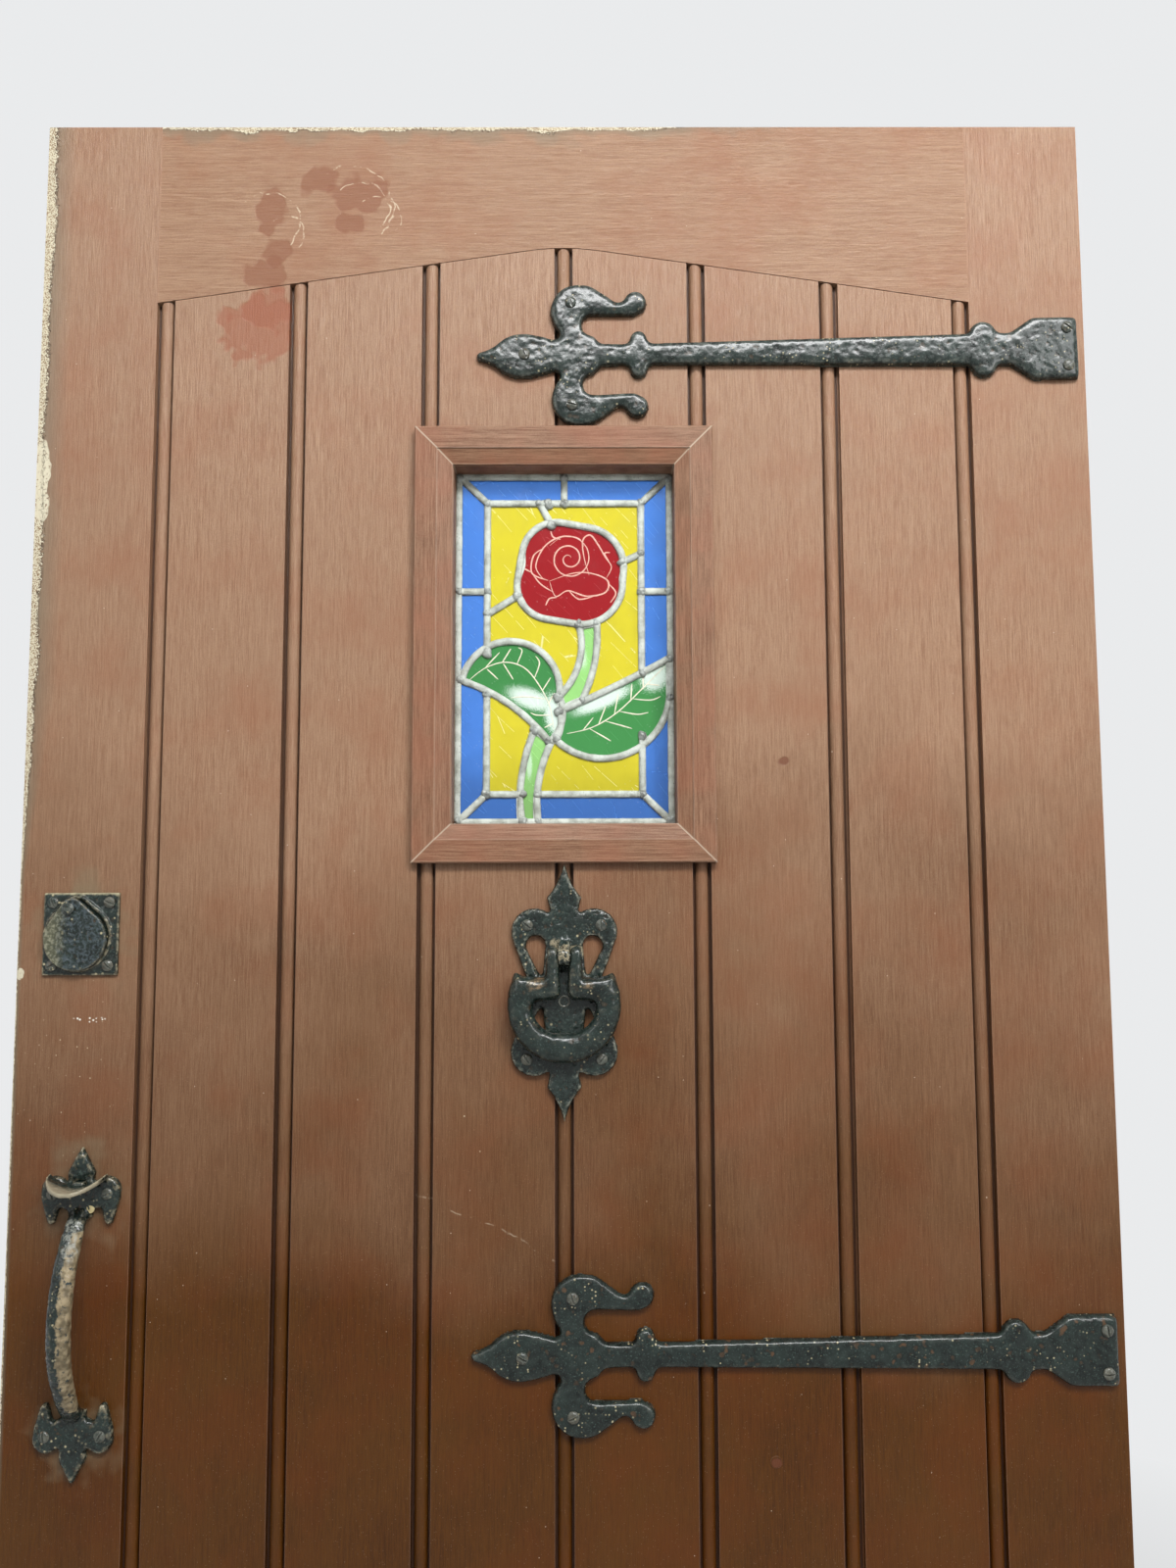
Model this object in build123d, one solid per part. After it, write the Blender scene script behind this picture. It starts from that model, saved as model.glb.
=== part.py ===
from build123d import *
import os
from math import acos, asin, atan2, cos, degrees, hypot, radians, sin

# A framed and boarded front door leaf with a leaded light and black ironwork.
# X runs along the width with the hinges at +X, Y runs through the door from the
# outer face at -Y to the inner face at +Y, and Z is up from the bottom edge.
# All sizes are in millimetres.

# The leaf
leaf_width = 838
leaf_height = 2057
leaf_thickness = 44
stile_width = 92
board_thickness = 19
rebate_lip = 12
arch_spring_drop = 149
arch_peak_drop = 101
arch_peak_radius = 200
fit_gap = 0.2
arch_gap = 0.7

# Joinery
tenon_thickness = 12
tenon_length = 60
tenon_shoulder = 20
top_tenon_height = 80
middle_rail_share = 0.4837
middle_rail_height = 260
bottom_rail_height = 200
upright_width = 60
trimmer_height = 60
stub_tenon = 15

# Boards and their beads
board_count = 6
quirk_width = 1.9
bead_width = 10.5
bead_sink = 0.8
tongue_thickness = 4
tongue_length = 6
tongue_depth = 13

# The window and its mouldings
window_drop = 427.3
window_bead_cover = 9.8
moulding_outer_height = 346
moulding_width = 30
moulding_flat = 18
moulding_proud = 7.5
moulding_step = 0.8
moulding_inner_proud = 3
lining_thickness = 24
moulding_lap = 6.5
glazing_rebate = 8
glazing_bead_depth = 12

# The leaded light
panel_clearance = 1
came_width = 5.5
came_thickness = 5
edge_came_width = 12
glass_thickness = 3

# Strap hinge fronts
strap_length = 482
strap_thickness = 7
strap_draft = 16
strap_edge_gap = 6.8
top_strap_rise = 58.3
lower_strap_rise = 95.5
top_strap_tilt = 0.81
lower_strap_tilt = 0.33

# Knocker
knocker_gap = 0.8
knocker_reach = 97.4
knocker_plate_thickness = 5
plate_draft = 12
knocker_waist_drop = 27.5
ring_radius = 43
ring_thickness = 15
ring_draft = 11
ring_seat_gap = 0.4
ear_width = 8.5
lug_width = 8.4
lug_gap = 0.35
knocker_pin_radius = 2.6
running_gap = 0.05

# Lock cylinder, its cover and the night latch
lock_edge_distance = 48.8
lock_rise = 193.4
escutcheon_width = 58
escutcheon_height = 63
escutcheon_thickness = 3
lip_height = 2
cover_radius = 24
cover_thickness = 3
cover_gap = 1
rivet_radius = 2.5
rivet_dx = -7.3
rivet_dz = 19.5
cylinder_rim_radius = 17
cylinder_body_radius = 14
cylinder_body_length = 34
cylinder_clearance = 0.4
case_width = 86
case_height = 65
case_depth = 26
latch_bolt_width = 22
latch_bolt_depth = 14
latch_bolt_reach = 14
latch_bolt_length = 42
latch_bolt_travel = 12
slide_gap = 0.3
knob_radius = 16
knob_reach = 24
spindle_radius = 5

# Pull handle and thumb latch
handle_edge_distance = 56
handle_drop = 45
handle_span = 174
handle_plate_reach = 34
handle_plate_thickness = 5
grip_reach = 35
grip_width = 16
grip_depth = 12
grip_flat = 0.24
grip_end_taper = 0.2
thumb_rise = 6.5
thumb_lever_width = 8
thumb_lever_height = 5
thumb_pad_width = 44
thumb_pad_reach = 27
thumb_pad_thickness = 3
thumb_pin_radius = 1.2
thumb_travel = 9
latch_bar_height = 20
latch_bar_thickness = 6
latch_bar_stand_off = 3
latch_bar_overhang = 21
latch_bar_arm = 113
latch_lift_gap = 0.6
latch_bar_travel = 4.4
bar_stud_radius = 4
keeper_distance = 35
keeper_width = 16
keeper_thickness = 3

# Butt hinges
top_hinge_drop = 189
middle_hinge_rise = 97
bottom_hinge_height = 230
hinge_length = 100
flap_thickness = 2.5
knuckle_radius = 5.5
knuckle_count = 3
knuckle_gap = 0.2
hinge_pin_radius = 3
hinge_stand_off = 6
flap_depth = 28
hinge_gap = 1.5
hinge_outer_hole_z = 38
hinge_inner_hole_z = 13
hinge_outer_hole_in = 20
hinge_inner_hole_in = 9
hinge_hole_radius = 2.6

# Places worked out from the sizes above
front_y = -leaf_thickness / 2
back_y = leaf_thickness / 2
half_width = leaf_width / 2
stile_edge = half_width - stile_width
lip_edge = stile_edge - rebate_lip
seat_y = front_y + board_thickness
arch_spring = leaf_height - arch_spring_drop
arch_peak = leaf_height - arch_peak_drop
channel_width = bead_width + 2 * quirk_width
board_pitch = (2 * stile_edge - channel_width) / board_count
middle_rail_base = middle_rail_share * leaf_height
middle_rail_top = middle_rail_base + middle_rail_height
tenon_end = stile_edge + tenon_length
window_centre_height = leaf_height - window_drop
lining_width = 2 * board_pitch + window_bead_cover
moulding_outer_width = lining_width + 2 * moulding_lap
lining_height = moulding_outer_height - 2 * moulding_lap
sight_width = lining_width - 2 * lining_thickness
sight_height = lining_height - 2 * lining_thickness
lining_base = window_centre_height - lining_height / 2
lining_top = window_centre_height + lining_height / 2
panel_width = sight_width + 2 * (glazing_rebate - panel_clearance)
panel_height = sight_height + 2 * (glazing_rebate - panel_clearance)
inner_came_half_width = 0.3543 * sight_width
inner_came_half_height = 0.415 * sight_height
upright_inner = lining_width / 2 + fit_gap
upright_outer = upright_inner + upright_width
knocker_waist = window_centre_height - moulding_outer_height / 2 - knocker_gap - knocker_reach
knocker_height = knocker_waist + knocker_waist_drop
knocker_pin_out = knocker_plate_thickness + ring_seat_gap + ring_thickness / 2 - 0.3
ear_radius = knocker_pin_out - knocker_plate_thickness - ring_seat_gap
strap_tip_x = half_width - strap_edge_gap - strap_length
top_strap_height = window_centre_height + moulding_outer_height / 2 + top_strap_rise
lower_strap_height = middle_rail_base + lower_strap_rise
handle_x = -half_width + handle_edge_distance
handle_top = middle_rail_top - handle_drop
handle_bottom = handle_top - handle_span
lock_x = -half_width + lock_edge_distance
lock_height = handle_top + lock_rise
latch_bar_pivot_x = handle_x + latch_bar_arm
keeper_x = handle_x - keeper_distance
thumb_axis_z = handle_top + thumb_rise
thumb_axis_y = front_y - handle_plate_thickness / 2
latch_bar_y = back_y + latch_bar_stand_off
latch_bar_base = thumb_axis_z + thumb_lever_height / 2 + latch_lift_gap
latch_bar_middle = latch_bar_base + latch_bar_height / 2
hinge_axis_x = half_width + hinge_gap / 2
hinge_axis_y = back_y + hinge_stand_off
jamb_face_x = half_width + hinge_gap + flap_thickness
middle_hinge_height = middle_rail_base + middle_hinge_rise
hinge_heights = [leaf_height - top_hinge_drop, middle_hinge_height, bottom_hinge_height]

FRONT = Plane((0, front_y, 0), x_dir=(1, 0, 0), z_dir=(0, -1, 0))
BACK = Plane((0, back_y, 0), x_dir=(-1, 0, 0), z_dir=(0, 1, 0))


# Shared helpers

def block(x_range, y_range, z_range):
    """A box given by its two limits on each axis."""
    size = [high - low for low, high in (x_range, y_range, z_range)]
    middle = [(low + high) / 2 for low, high in (x_range, y_range, z_range)]
    return Pos(*middle) * Box(*size)


def polygon(*points):
    """A flat face with straight sides through the points."""
    return make_face(Polyline(*points, close=True))


def tapered(start, start_radius, end, end_radius):
    """A flat bar with round ends of two sizes."""
    run = hypot(end[0] - start[0], end[1] - start[1])
    heading = atan2(end[1] - start[1], end[0] - start[0])
    lean = acos((start_radius - end_radius) / run)
    sides = []
    for turn in (lean, -lean):
        aim = (cos(heading + turn), sin(heading + turn))
        near = (start[0] + start_radius * aim[0], start[1] + start_radius * aim[1])
        far = (end[0] + end_radius * aim[0], end[1] + end_radius * aim[1])
        sides.append((near, far))
    web = polygon(sides[0][0], sides[0][1], sides[1][1], sides[1][0])
    return Pos(*start) * Circle(start_radius) + Pos(*end) * Circle(end_radius) + web


def softened(outline, radius):
    """Round the inner corners of an outline."""
    return offset(offset(outline, radius), -radius)


def both_sides(outline):
    """The outline with its mirror image across the local Y axis."""
    return outline + mirror(outline, about=Plane.YZ)


def on_front(outline, x, z, start, end):
    """Raise a flat outline from the outer face, between two heights above it."""
    return extrude(FRONT.offset(start) * (Pos(x, z) * outline), end - start)


def on_back(outline, x, z, start, end):
    """Raise a flat outline from the inner face; its local X runs towards -X."""
    return extrude(BACK.offset(start) * (Pos(-x, z) * outline), end - start)


def resized(outline, size, drawn_size):
    """An outline drawn at one size, scaled about the origin to its real size."""
    return scale(outline, by=size / drawn_size)


def cast_plate(outline, thickness, draft):
    """A plate on the XY plane whose edges lean inwards by a draft angle."""
    return extrude(outline, thickness, taper=draft)


def rod(start, end, radius):
    """A round bar between two points on a line along one axis."""
    run = Vector(*end) - Vector(*start)
    return extrude(Plane(start, z_dir=run.normalized()) * Circle(radius), run.length)


def arch_line(drop):
    """The arch's lower edge, lowered by a drop, with its rounded peak."""
    left = (-half_width, arch_spring - drop - arch_slope() * stile_width)
    peak = (0, arch_peak - drop)
    right = (half_width, left[1])
    return left, peak, right


def arch_slope():
    """Rise of the arch for each millimetre towards the middle."""
    return (arch_peak - arch_spring) / stile_edge


def below_arch(drop, y_range):
    """Everything under the arch, lowered by a drop, between two depths."""
    left, peak, right = arch_line(drop)
    profile = polygon((left[0], 0), left, peak, right, (right[0], 0))
    profile = fillet(profile.vertices().sort_by(Axis.Y)[-1], arch_peak_radius)
    plane = Plane((0, y_range[1], 0), x_dir=(1, 0, 0), z_dir=(0, -1, 0))
    return extrude(plane * profile, y_range[1] - y_range[0])


# The frame of the leaf

def plain_stile():
    """A stile for the +X side, with the rebate that the boards sit in."""
    body = block((stile_edge, half_width), (front_y, back_y), (0, leaf_height))
    lip = block((lip_edge, stile_edge), (seat_y, back_y), (0, leaf_height))
    return body + lip


def mortised(stile):
    """Mortises for the tenons of the three rails, on the +X side."""
    for y_range, z_range in rail_tenons():
        y_range = (y_range[0] - fit_gap, y_range[1] + fit_gap)
        z_range = (z_range[0] - fit_gap, z_range[1] + fit_gap)
        stile -= block((lip_edge - 1, tenon_end + 2), y_range, z_range)
    return stile


def rail_tenons():
    """Depth and height limits of the tenons of the top, middle and bottom rails."""
    half = tenon_thickness / 2
    top_end = leaf_height - 2 * tenon_shoulder
    back_tenon = (back_y - tenon_thickness - 6, back_y - 6)
    return [
        ((-half, half), (top_end - top_tenon_height, top_end)),
        (back_tenon, (middle_rail_base + tenon_shoulder, middle_rail_top - tenon_shoulder)),
        (back_tenon, (tenon_shoulder, bottom_rail_height - tenon_shoulder)),
    ]


def hinge_stile():
    """The stile that the butt hinges are let into."""
    stile = mortised(plain_stile())
    recess_x = (half_width - flap_thickness - fit_gap, half_width + 1)
    for height in hinge_heights:
        reach = hinge_length / 2 + fit_gap
        recess_y = (hinge_axis_y - flap_depth - fit_gap - hinge_stand_off, back_y + 1)
        stile -= block(recess_x, recess_y, (height - reach, height + reach))
    return stile


def lock_stile():
    """The stile that carries the lock cylinder, the handle and the night latch."""
    stile = mirror(mortised(plain_stile()), about=Plane.YZ)
    bore = cylinder_body_radius + cylinder_clearance
    stile -= on_front(Circle(bore), lock_x, lock_height, -leaf_thickness - 1, 1)
    return stile - thumb_slot()


def thumb_slot():
    """The slot that the thumb lever passes through and tilts in."""
    half = thumb_lever_width / 2 + 1
    rise = (leaf_thickness + 6) * sin(radians(thumb_travel))
    low = thumb_axis_z - thumb_lever_height / 2 - 1
    slot_z = (low, low + thumb_lever_height + rise + 2)
    return block((handle_x - half, handle_x + half), (front_y - 1, back_y + 1), slot_z)


def top_rail():
    """The head rail with the pointed arch cut in its lower edge."""
    face = block((-stile_edge, stile_edge), (front_y, seat_y), (0, leaf_height))
    face -= below_arch(0, (front_y - 1, seat_y + 1))
    backing = block((-lip_edge, lip_edge), (seat_y, back_y), (0, leaf_height))
    backing -= below_arch(rebate_lip, (seat_y - 1, back_y + 1))
    y_range, z_range = rail_tenons()[0]
    tenon = block((lip_edge - 10, tenon_end), y_range, z_range)
    return face + backing + tenon + mirror(tenon, about=Plane.YZ)


def back_rail(base, top, tenon):
    """A rail behind the boards, with bare-faced tenons into the stiles."""
    rail = block((-lip_edge, lip_edge), (seat_y, back_y), (base, top))
    return rail + block((-tenon_end, tenon_end), tenon[0], tenon[1])


def middle_rail():
    """The lock rail, with sockets for the window uprights."""
    rail = back_rail(middle_rail_base, middle_rail_top, rail_tenons()[1])
    for side in (-1, 1):
        rail -= upright_tenon(side, fit_gap)
    return rail - thumb_slot()


def bottom_rail():
    """The rail at the foot of the leaf."""
    return back_rail(0, bottom_rail_height, rail_tenons()[2])


def upright_x(side):
    """Limits of a window upright on one side, low value first."""
    return tuple(sorted((side * upright_inner, side * upright_outer)))


def upright_tenon(side, gap):
    """The stub tenon at the foot of a window upright, larger by a gap."""
    low, high = upright_x(side)
    middle = (seat_y + back_y) / 2
    reach = tenon_thickness / 2 + gap
    x_range = (low + 10 - gap, high - 10 + gap)
    z_range = (middle_rail_top - stub_tenon - gap, middle_rail_top)
    return block(x_range, (middle - reach, middle + reach), z_range)


def window_upright(side):
    """A member behind the boards from the middle rail to the arch rail."""
    upright = block(upright_x(side), (seat_y, back_y), (middle_rail_top, leaf_height))
    upright &= below_arch(rebate_lip + fit_gap, (seat_y, back_y))
    upright += upright_tenon(side, 0)
    for base, top in trimmer_heights():
        upright -= trimmer_tenon(base, top, fit_gap)
    return upright


def trimmer_heights():
    """Height limits of the trimmers under and over the window."""
    sill = (lining_base - fit_gap - trimmer_height, lining_base - fit_gap)
    head = (lining_top + fit_gap, lining_top + fit_gap + trimmer_height)
    return [sill, head]


def trimmer_tenon(base, top, gap):
    """The stub tenons of a trimmer, larger by a gap."""
    middle = (seat_y + back_y) / 2
    reach = tenon_thickness / 2 + gap
    x_reach = upright_inner + stub_tenon + gap
    z_range = (base + 10 - gap, top - 10 + gap)
    return block((-x_reach, x_reach), (middle - reach, middle + reach), z_range)


def trimmer(base, top):
    """A short member between the two uprights."""
    x_reach = upright_inner - fit_gap / 2
    return block((-x_reach, x_reach), (seat_y, back_y), (base, top)) + trimmer_tenon(base, top, 0)


# The beaded boards

def board_profile(index):
    """Plan section of one board, with its bead, tongue and groove."""
    left = -stile_edge + index * board_pitch
    last = index == board_count - 1
    right = stile_edge if last else left + board_pitch
    bead_radius = bead_width / 2
    sink = bead_radius + bead_sink
    profile = plan_rectangle(left + fit_gap / 2, right - fit_gap / 2, 0, board_thickness)
    edges = [left + channel_width / 2] + ([right - channel_width / 2] if last else [])
    for middle in edges:
        reach = channel_width / 2 + 1 if middle - left < channel_width else channel_width / 2
        profile -= plan_rectangle(middle - reach, middle + channel_width / 2 + last, 0, sink)
        profile += Pos(middle, front_y + sink) * Circle(bead_radius)
    if index > 0:
        tongue = (tongue_depth - tongue_thickness / 2, tongue_depth + tongue_thickness / 2)
        profile += plan_rectangle(left - tongue_length, left + 1, *tongue)
    if not last:
        low = tongue_depth - tongue_thickness / 2 - fit_gap
        high = tongue_depth + tongue_thickness / 2 + fit_gap
        profile -= plan_rectangle(right - tongue_length - fit_gap, right + 1, low, high)
    return profile


def plan_rectangle(x_low, x_high, depth_low, depth_high):
    """A rectangle in plan, given by its depths below the outer face."""
    size = (x_high - x_low, depth_high - depth_low)
    middle = ((x_low + x_high) / 2, front_y + (depth_low + depth_high) / 2)
    return Pos(*middle) * Rectangle(*size)


def board(index):
    """One full-height board, cut to the arch and to the window opening."""
    stock = extrude(board_profile(index), leaf_height)
    stock &= below_arch(arch_gap, (front_y - 1, seat_y + 1))
    reach = lining_width / 2 + fit_gap
    left = -stile_edge + index * board_pitch
    across = left > -reach - channel_width and left + board_pitch < reach
    x_range = (left - channel_width, left + board_pitch + 1) if across else (-reach, reach)
    opening_z = (lining_base - fit_gap, lining_top + fit_gap)
    return stock - block(x_range, (front_y - 1, seat_y + 1), opening_z)


def pieces_by_height(shape):
    """The solids of a shape from the lowest to the highest."""
    return sorted(shape.solids(), key=lambda solid: solid.center().Z)


# The window

def lining():
    """The four pieces that line the opening: head, sill, left and right."""
    z_range = (lining_base, lining_top)
    half = lining_width / 2
    ring = block((-half, half), (front_y, back_y), z_range)
    half -= lining_thickness
    inner_z = (lining_base + lining_thickness, lining_top - lining_thickness)
    ring -= block((-half, half), (front_y - 1, back_y + 1), inner_z)
    half += glazing_rebate
    rebate_z = (inner_z[0] - glazing_rebate, inner_z[1] + glazing_rebate)
    ring -= block((-half, half), (seat_y, back_y + 1), rebate_z)
    wide = (-leaf_width, leaf_width)
    deep = (front_y - 1, back_y + 1)
    head = ring & block(wide, deep, (inner_z[1], leaf_height))
    sill = ring & block(wide, deep, (0, inner_z[0]))
    sides = ring & block(wide, deep, (inner_z[0] + fit_gap, inner_z[1] - fit_gap))
    left, right = sorted(sides.solids(), key=lambda solid: solid.center().X)
    return {"head": head, "sill": sill, "left": left, "right": right}


def moulding_piece(length):
    """A mitred length of moulding along X, standing on its outer edge."""
    step = moulding_proud - moulding_step
    section = polygon(
        (0, 0), (0, moulding_proud - 1), (1, moulding_proud), (moulding_flat, moulding_proud),
        (moulding_flat, step), (moulding_width, moulding_inner_proud), (moulding_width, 0),
    )
    start = Plane((-length / 2, 0, 0), x_dir=(0, 0, 1), z_dir=(1, 0, 0))
    bar = extrude(start * mirror(section, about=Plane.XZ), length)
    if bar.bounding_box().max.Y > 1:
        bar = mirror(bar, about=Plane.XZ)
    half = length / 2 - fit_gap / 2
    inner = half - moulding_width
    mitre = polygon((-half, 0), (half, 0), (inner, moulding_width), (-inner, moulding_width))
    plane = Plane((0, 0, 0), x_dir=(1, 0, 0), z_dir=(0, -1, 0))
    return bar & extrude(plane * mitre, moulding_proud)


def moulding(side):
    """One of the four mouldings planted round the window."""
    turn = {"bottom": 0, "left": 90, "top": 180, "right": -90}[side]
    upright = side in ("left", "right")
    length = moulding_outer_height if upright else moulding_outer_width
    across = moulding_outer_width if upright else moulding_outer_height
    piece = Pos(0, 0, -across / 2) * moulding_piece(length)
    return Pos(0, front_y, window_centre_height) * Rot(0, turn, 0) * piece


def glazing_beads():
    """Four square beads that hold the leaded panel in its rebate."""
    start = seat_y + came_thickness + fit_gap
    y_range = (start, start + glazing_bead_depth)
    outer_x = sight_width / 2 + glazing_rebate - fit_gap
    outer_z = sight_height / 2 + glazing_rebate - fit_gap
    mid = window_centre_height
    beads = []
    for side in (-1, 1):
        x_range = sorted((side * sight_width / 2, side * outer_x))
        beads.append(block(x_range, y_range, (mid - sight_height / 2, mid + sight_height / 2)))
        z_range = sorted((mid + side * (sight_height / 2 + fit_gap), mid + side * outer_z))
        beads.append(block((-outer_x, outer_x), y_range, z_range))
    return Compound(children=beads)


# The leaded light: flat outlines are drawn round the window's centre

def at(across, up):
    """A point of the window's drawing: the sight is 35 by 57.2 steps round its centre."""
    return (across * sight_width / 35, up * sight_height / 57.2)


def bow(start, middle, end):
    """A curved lead line through three points of the drawing."""
    return ThreePointArc(at(*start), at(*middle), at(*end))


def run(start, end):
    """A straight lead line between two points of the drawing."""
    return Line(at(*start), at(*end))


leaf_left_lines = [
    bow((-16.4, -5.4), (-8.4, 1), (-0.8, -8)),
    bow((-0.8, -8), (-0.4, -12), (-2.4, -15.4)),
    bow((-2.4, -15.4), (-8.8, -9.2), (-16.4, -5.4)),
]
leaf_right_lines = [
    bow((-0.8, -10.4), (8, -6.4), (16.8, -1.8)),
    run((16.8, -1.8), (16.8, -8)),
    bow((16.8, -8), (6.6, -18), (-1.4, -15)),
    bow((-1.4, -15), (-0.6, -12.8), (-0.8, -10.4)),
]
upper_stem_lines = [
    bow((2.4, 3.4), (2.4, -2.4), (-0.7, -7.8)),
    bow((-0.7, -7.8), (-0.6, -9.2), (-0.8, -10.4)),
    bow((-0.8, -10.4), (1.2, -9.2), (2.8, -8.6)),
    bow((2.8, -8.6), (4.8, -2.8), (5.2, 4)),
    run((5.2, 4), (2.4, 3.4)),
]
lower_stem_lines = [
    bow((-4.8, -13.4), (-6.6, -19.6), (-6.7, -30)),
    run((-6.7, -30), (-4.1, -30)),
    bow((-4.1, -30), (-4, -21.2), (-2.2, -15.6)),
    bow((-2.2, -15.6), (-3.4, -14.4), (-4.8, -13.4)),
]
connector_lines = [
    run((-17, -28.2), (-12.4, -23.74)),
    run((17, -28.2), (12.4, -23.74)),
    run((-17, 28.2), (-12.4, 23.74)),
    run((17, 28.2), (12.4, 23.74)),
    run((0, 23.74), (0, 28.2)),
    run((-17, 9.14), (-12.4, 9.14)),
    run((12.4, 9.14), (17, 9.14)),
    run((-4, 23.74), (-2.2, 20.4)),
    run((9.4, 14), (12.4, 15.4)),
    run((-7.6, 8.4), (-12.4, 5.4)),
]


def rose_face():
    """The rose's outline, a rounded shape made of three overlapping rounds."""
    step = sight_width / 35
    upper = tapered(at(-1.2, 15), 5.6 * step, at(3, 13.2), 6.6 * step)
    lower = tapered(at(-2, 10.2), 5.6 * step, at(2.8, 10.4), 6.6 * step)
    return softened(upper + lower, 4 * step)


def band(line, width):
    """A flat strip of one width along a lead line."""
    return make_face(offset(line, width / 2, side=Side.BOTH, kind=Kind.TANGENT).edges())


def outline_of(lines):
    """The face enclosed by a ring of lead lines."""
    return make_face(Curve() + lines)


def centred(width, height):
    """A rectangle round the window's centre."""
    return Rectangle(width, height)


def crossing_face():
    """The leaves and the lower stem, which interrupt the straight border came."""
    return outline_of(leaf_left_lines) + outline_of(leaf_right_lines) + outline_of(lower_stem_lines)


def border_came(width):
    """The rectangular inner came, broken where leaves and stem cross it."""
    outer = centred(2 * inner_came_half_width + width, 2 * inner_came_half_height + width)
    inner = centred(2 * inner_came_half_width - width, 2 * inner_came_half_height - width)
    return outer - inner - crossing_face()


def lead_network(width):
    """All the inner lead lines at one width."""
    rose = rose_face()
    lines = leaf_left_lines + leaf_right_lines + upper_stem_lines + lower_stem_lines
    network = border_came(width) + (offset(rose, width / 2) - offset(rose, -width / 2))
    for line in lines + connector_lines:
        network += band(line, width)
    return network & centred(panel_width, panel_height)


def edge_came():
    """The flat came round the edge of the panel."""
    inner = centred(panel_width - 2 * edge_came_width, panel_height - 2 * edge_came_width)
    return centred(panel_width, panel_height) - inner


def window_plane(depth):
    """A plane across the window at a depth behind the glazing rebate's shoulder."""
    origin = (0, seat_y + depth, window_centre_height)
    return Plane(origin, x_dir=(1, 0, 0), z_dir=(0, -1, 0))


def lead_cames():
    """The lead: the edge came and the curved cames, in one soldered sheet."""
    face = lead_network(came_width) + edge_came()
    return extrude(window_plane(came_thickness) * face, came_thickness)


def glass_panes():
    """The areas of each colour, before the cames are taken out of them."""
    rose = rose_face()
    left_leaf = outline_of(leaf_left_lines)
    right_leaf = outline_of(leaf_right_lines)
    stems = outline_of(upper_stem_lines) + outline_of(lower_stem_lines)
    inner = centred(2 * inner_came_half_width, 2 * inner_came_half_height)
    figure = rose + left_leaf + right_leaf + stems
    field = centred(panel_width - 2 * edge_came_width, panel_height - 2 * edge_came_width)
    return {
        "glass_border": field - inner - figure,
        "glass_ground": inner - figure,
        "glass_rose": rose,
        "glass_stem": (stems - left_leaf - right_leaf) & field,
        "glass_leaf_left": left_leaf & field,
        "glass_leaf_right": right_leaf & field,
    }


def glass(outline):
    """Panes of one colour, fitted between the cames."""
    panes = outline - lead_network(came_width)
    middle = (came_thickness + glass_thickness) / 2
    return extrude(window_plane(middle) * panes, glass_thickness)


# The strap fronts: local X runs from the spear's tip to the hinge end

def strap_spear():
    """The leaf-shaped point of the strap."""
    edge = Line((0, 0), (1.5, 3.6)) + ThreePointArc((1.5, 3.6), (9, 5.6), (15, 8.8))
    edge += ThreePointArc((15, 8.8), (25, 16.3), (39, 18.8))
    edge += ThreePointArc((39, 18.8), (55, 15.6), (70, 9.8))
    edge += Polyline((70, 9.8), (80, 9), (80, 0), (0, 0))
    half = make_face(edge)
    return half + mirror(half, about=Plane.XZ)


def strap_scroll():
    """The upper scroll of the strap, ending in a round curl."""
    reach = 36.4
    scroll = Pos(81.5, reach) * Circle(22.3)
    scroll += tapered((86, reach + 4.6), 17.5, (112, reach + 1.2), 5.3)
    scroll += tapered((112, reach + 1.2), 5.3, (124, reach + 1.6), 7)
    scroll += Pos(128, reach + 6.6) * Circle(9.6)
    scroll += tapered((71, reach - 8.4), 9.5, (97, 0), 8.5)
    return scroll - tapered((93.3, reach - 11.9), 8.2, (140, reach - 15.4), 10)


def strap_outline():
    """The whole outline of a strap front, drawn 482 long."""
    scroll = strap_scroll()
    end = 482
    shaft = polygon(
        (76, 10.5), (122, 8.8), (138, 9.2), (end - 82, 13.4), (end - 54, 13.8), (end - 36, 26),
        (end, 26), (end, -26), (end - 36, -26), (end - 54, -13.8), (end - 82, -13.4),
        (138, -9.2), (122, -8.8), (76, -10.5),
    )
    outline = scroll + mirror(scroll, about=Plane.XZ) + strap_spear() + shaft
    for side in (1, -1):
        outline += Pos(130, side * 12.6) * Circle(7.4)
        outline += Pos(end - 75.5, side * 12.5) * Circle(11)
    return resized(softened(outline, 4), strap_length, end)


def strap(height, tilt):
    """A strap front lying on the boards."""
    plate = cast_plate(strap_outline(), strap_thickness, strap_draft)
    return FRONT.location * Pos(strap_tip_x, height) * Rot(0, 0, tilt) * plate


# The knocker: local Y is measured from the plate's waist or from the ring's pivot

def knocker_plate_half():
    """The upper half of the plate, drawn 97.4 from its waist to the spear's tip."""
    tip = 97.4
    spear = Polyline((0, 0), (10, 0), (10, 58), (13.4, 71.7)) + RadiusArc((13.4, 71.7), (0, tip), 60)
    spear += Line((0, tip), (0, 0))
    lobe = Pos(22.8, 45.5) * Circle(18) + tapered((23, 43), 17, (19.5, 11), 9)
    lobe += polygon((0, 0), (25, 0), (28, 11), (16, 45), (0, 56))
    lobe -= tapered((21.8, 35), 7.2, (18, 14.5), 1.5)
    return both_sides(make_face(spear) + lobe)


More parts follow.
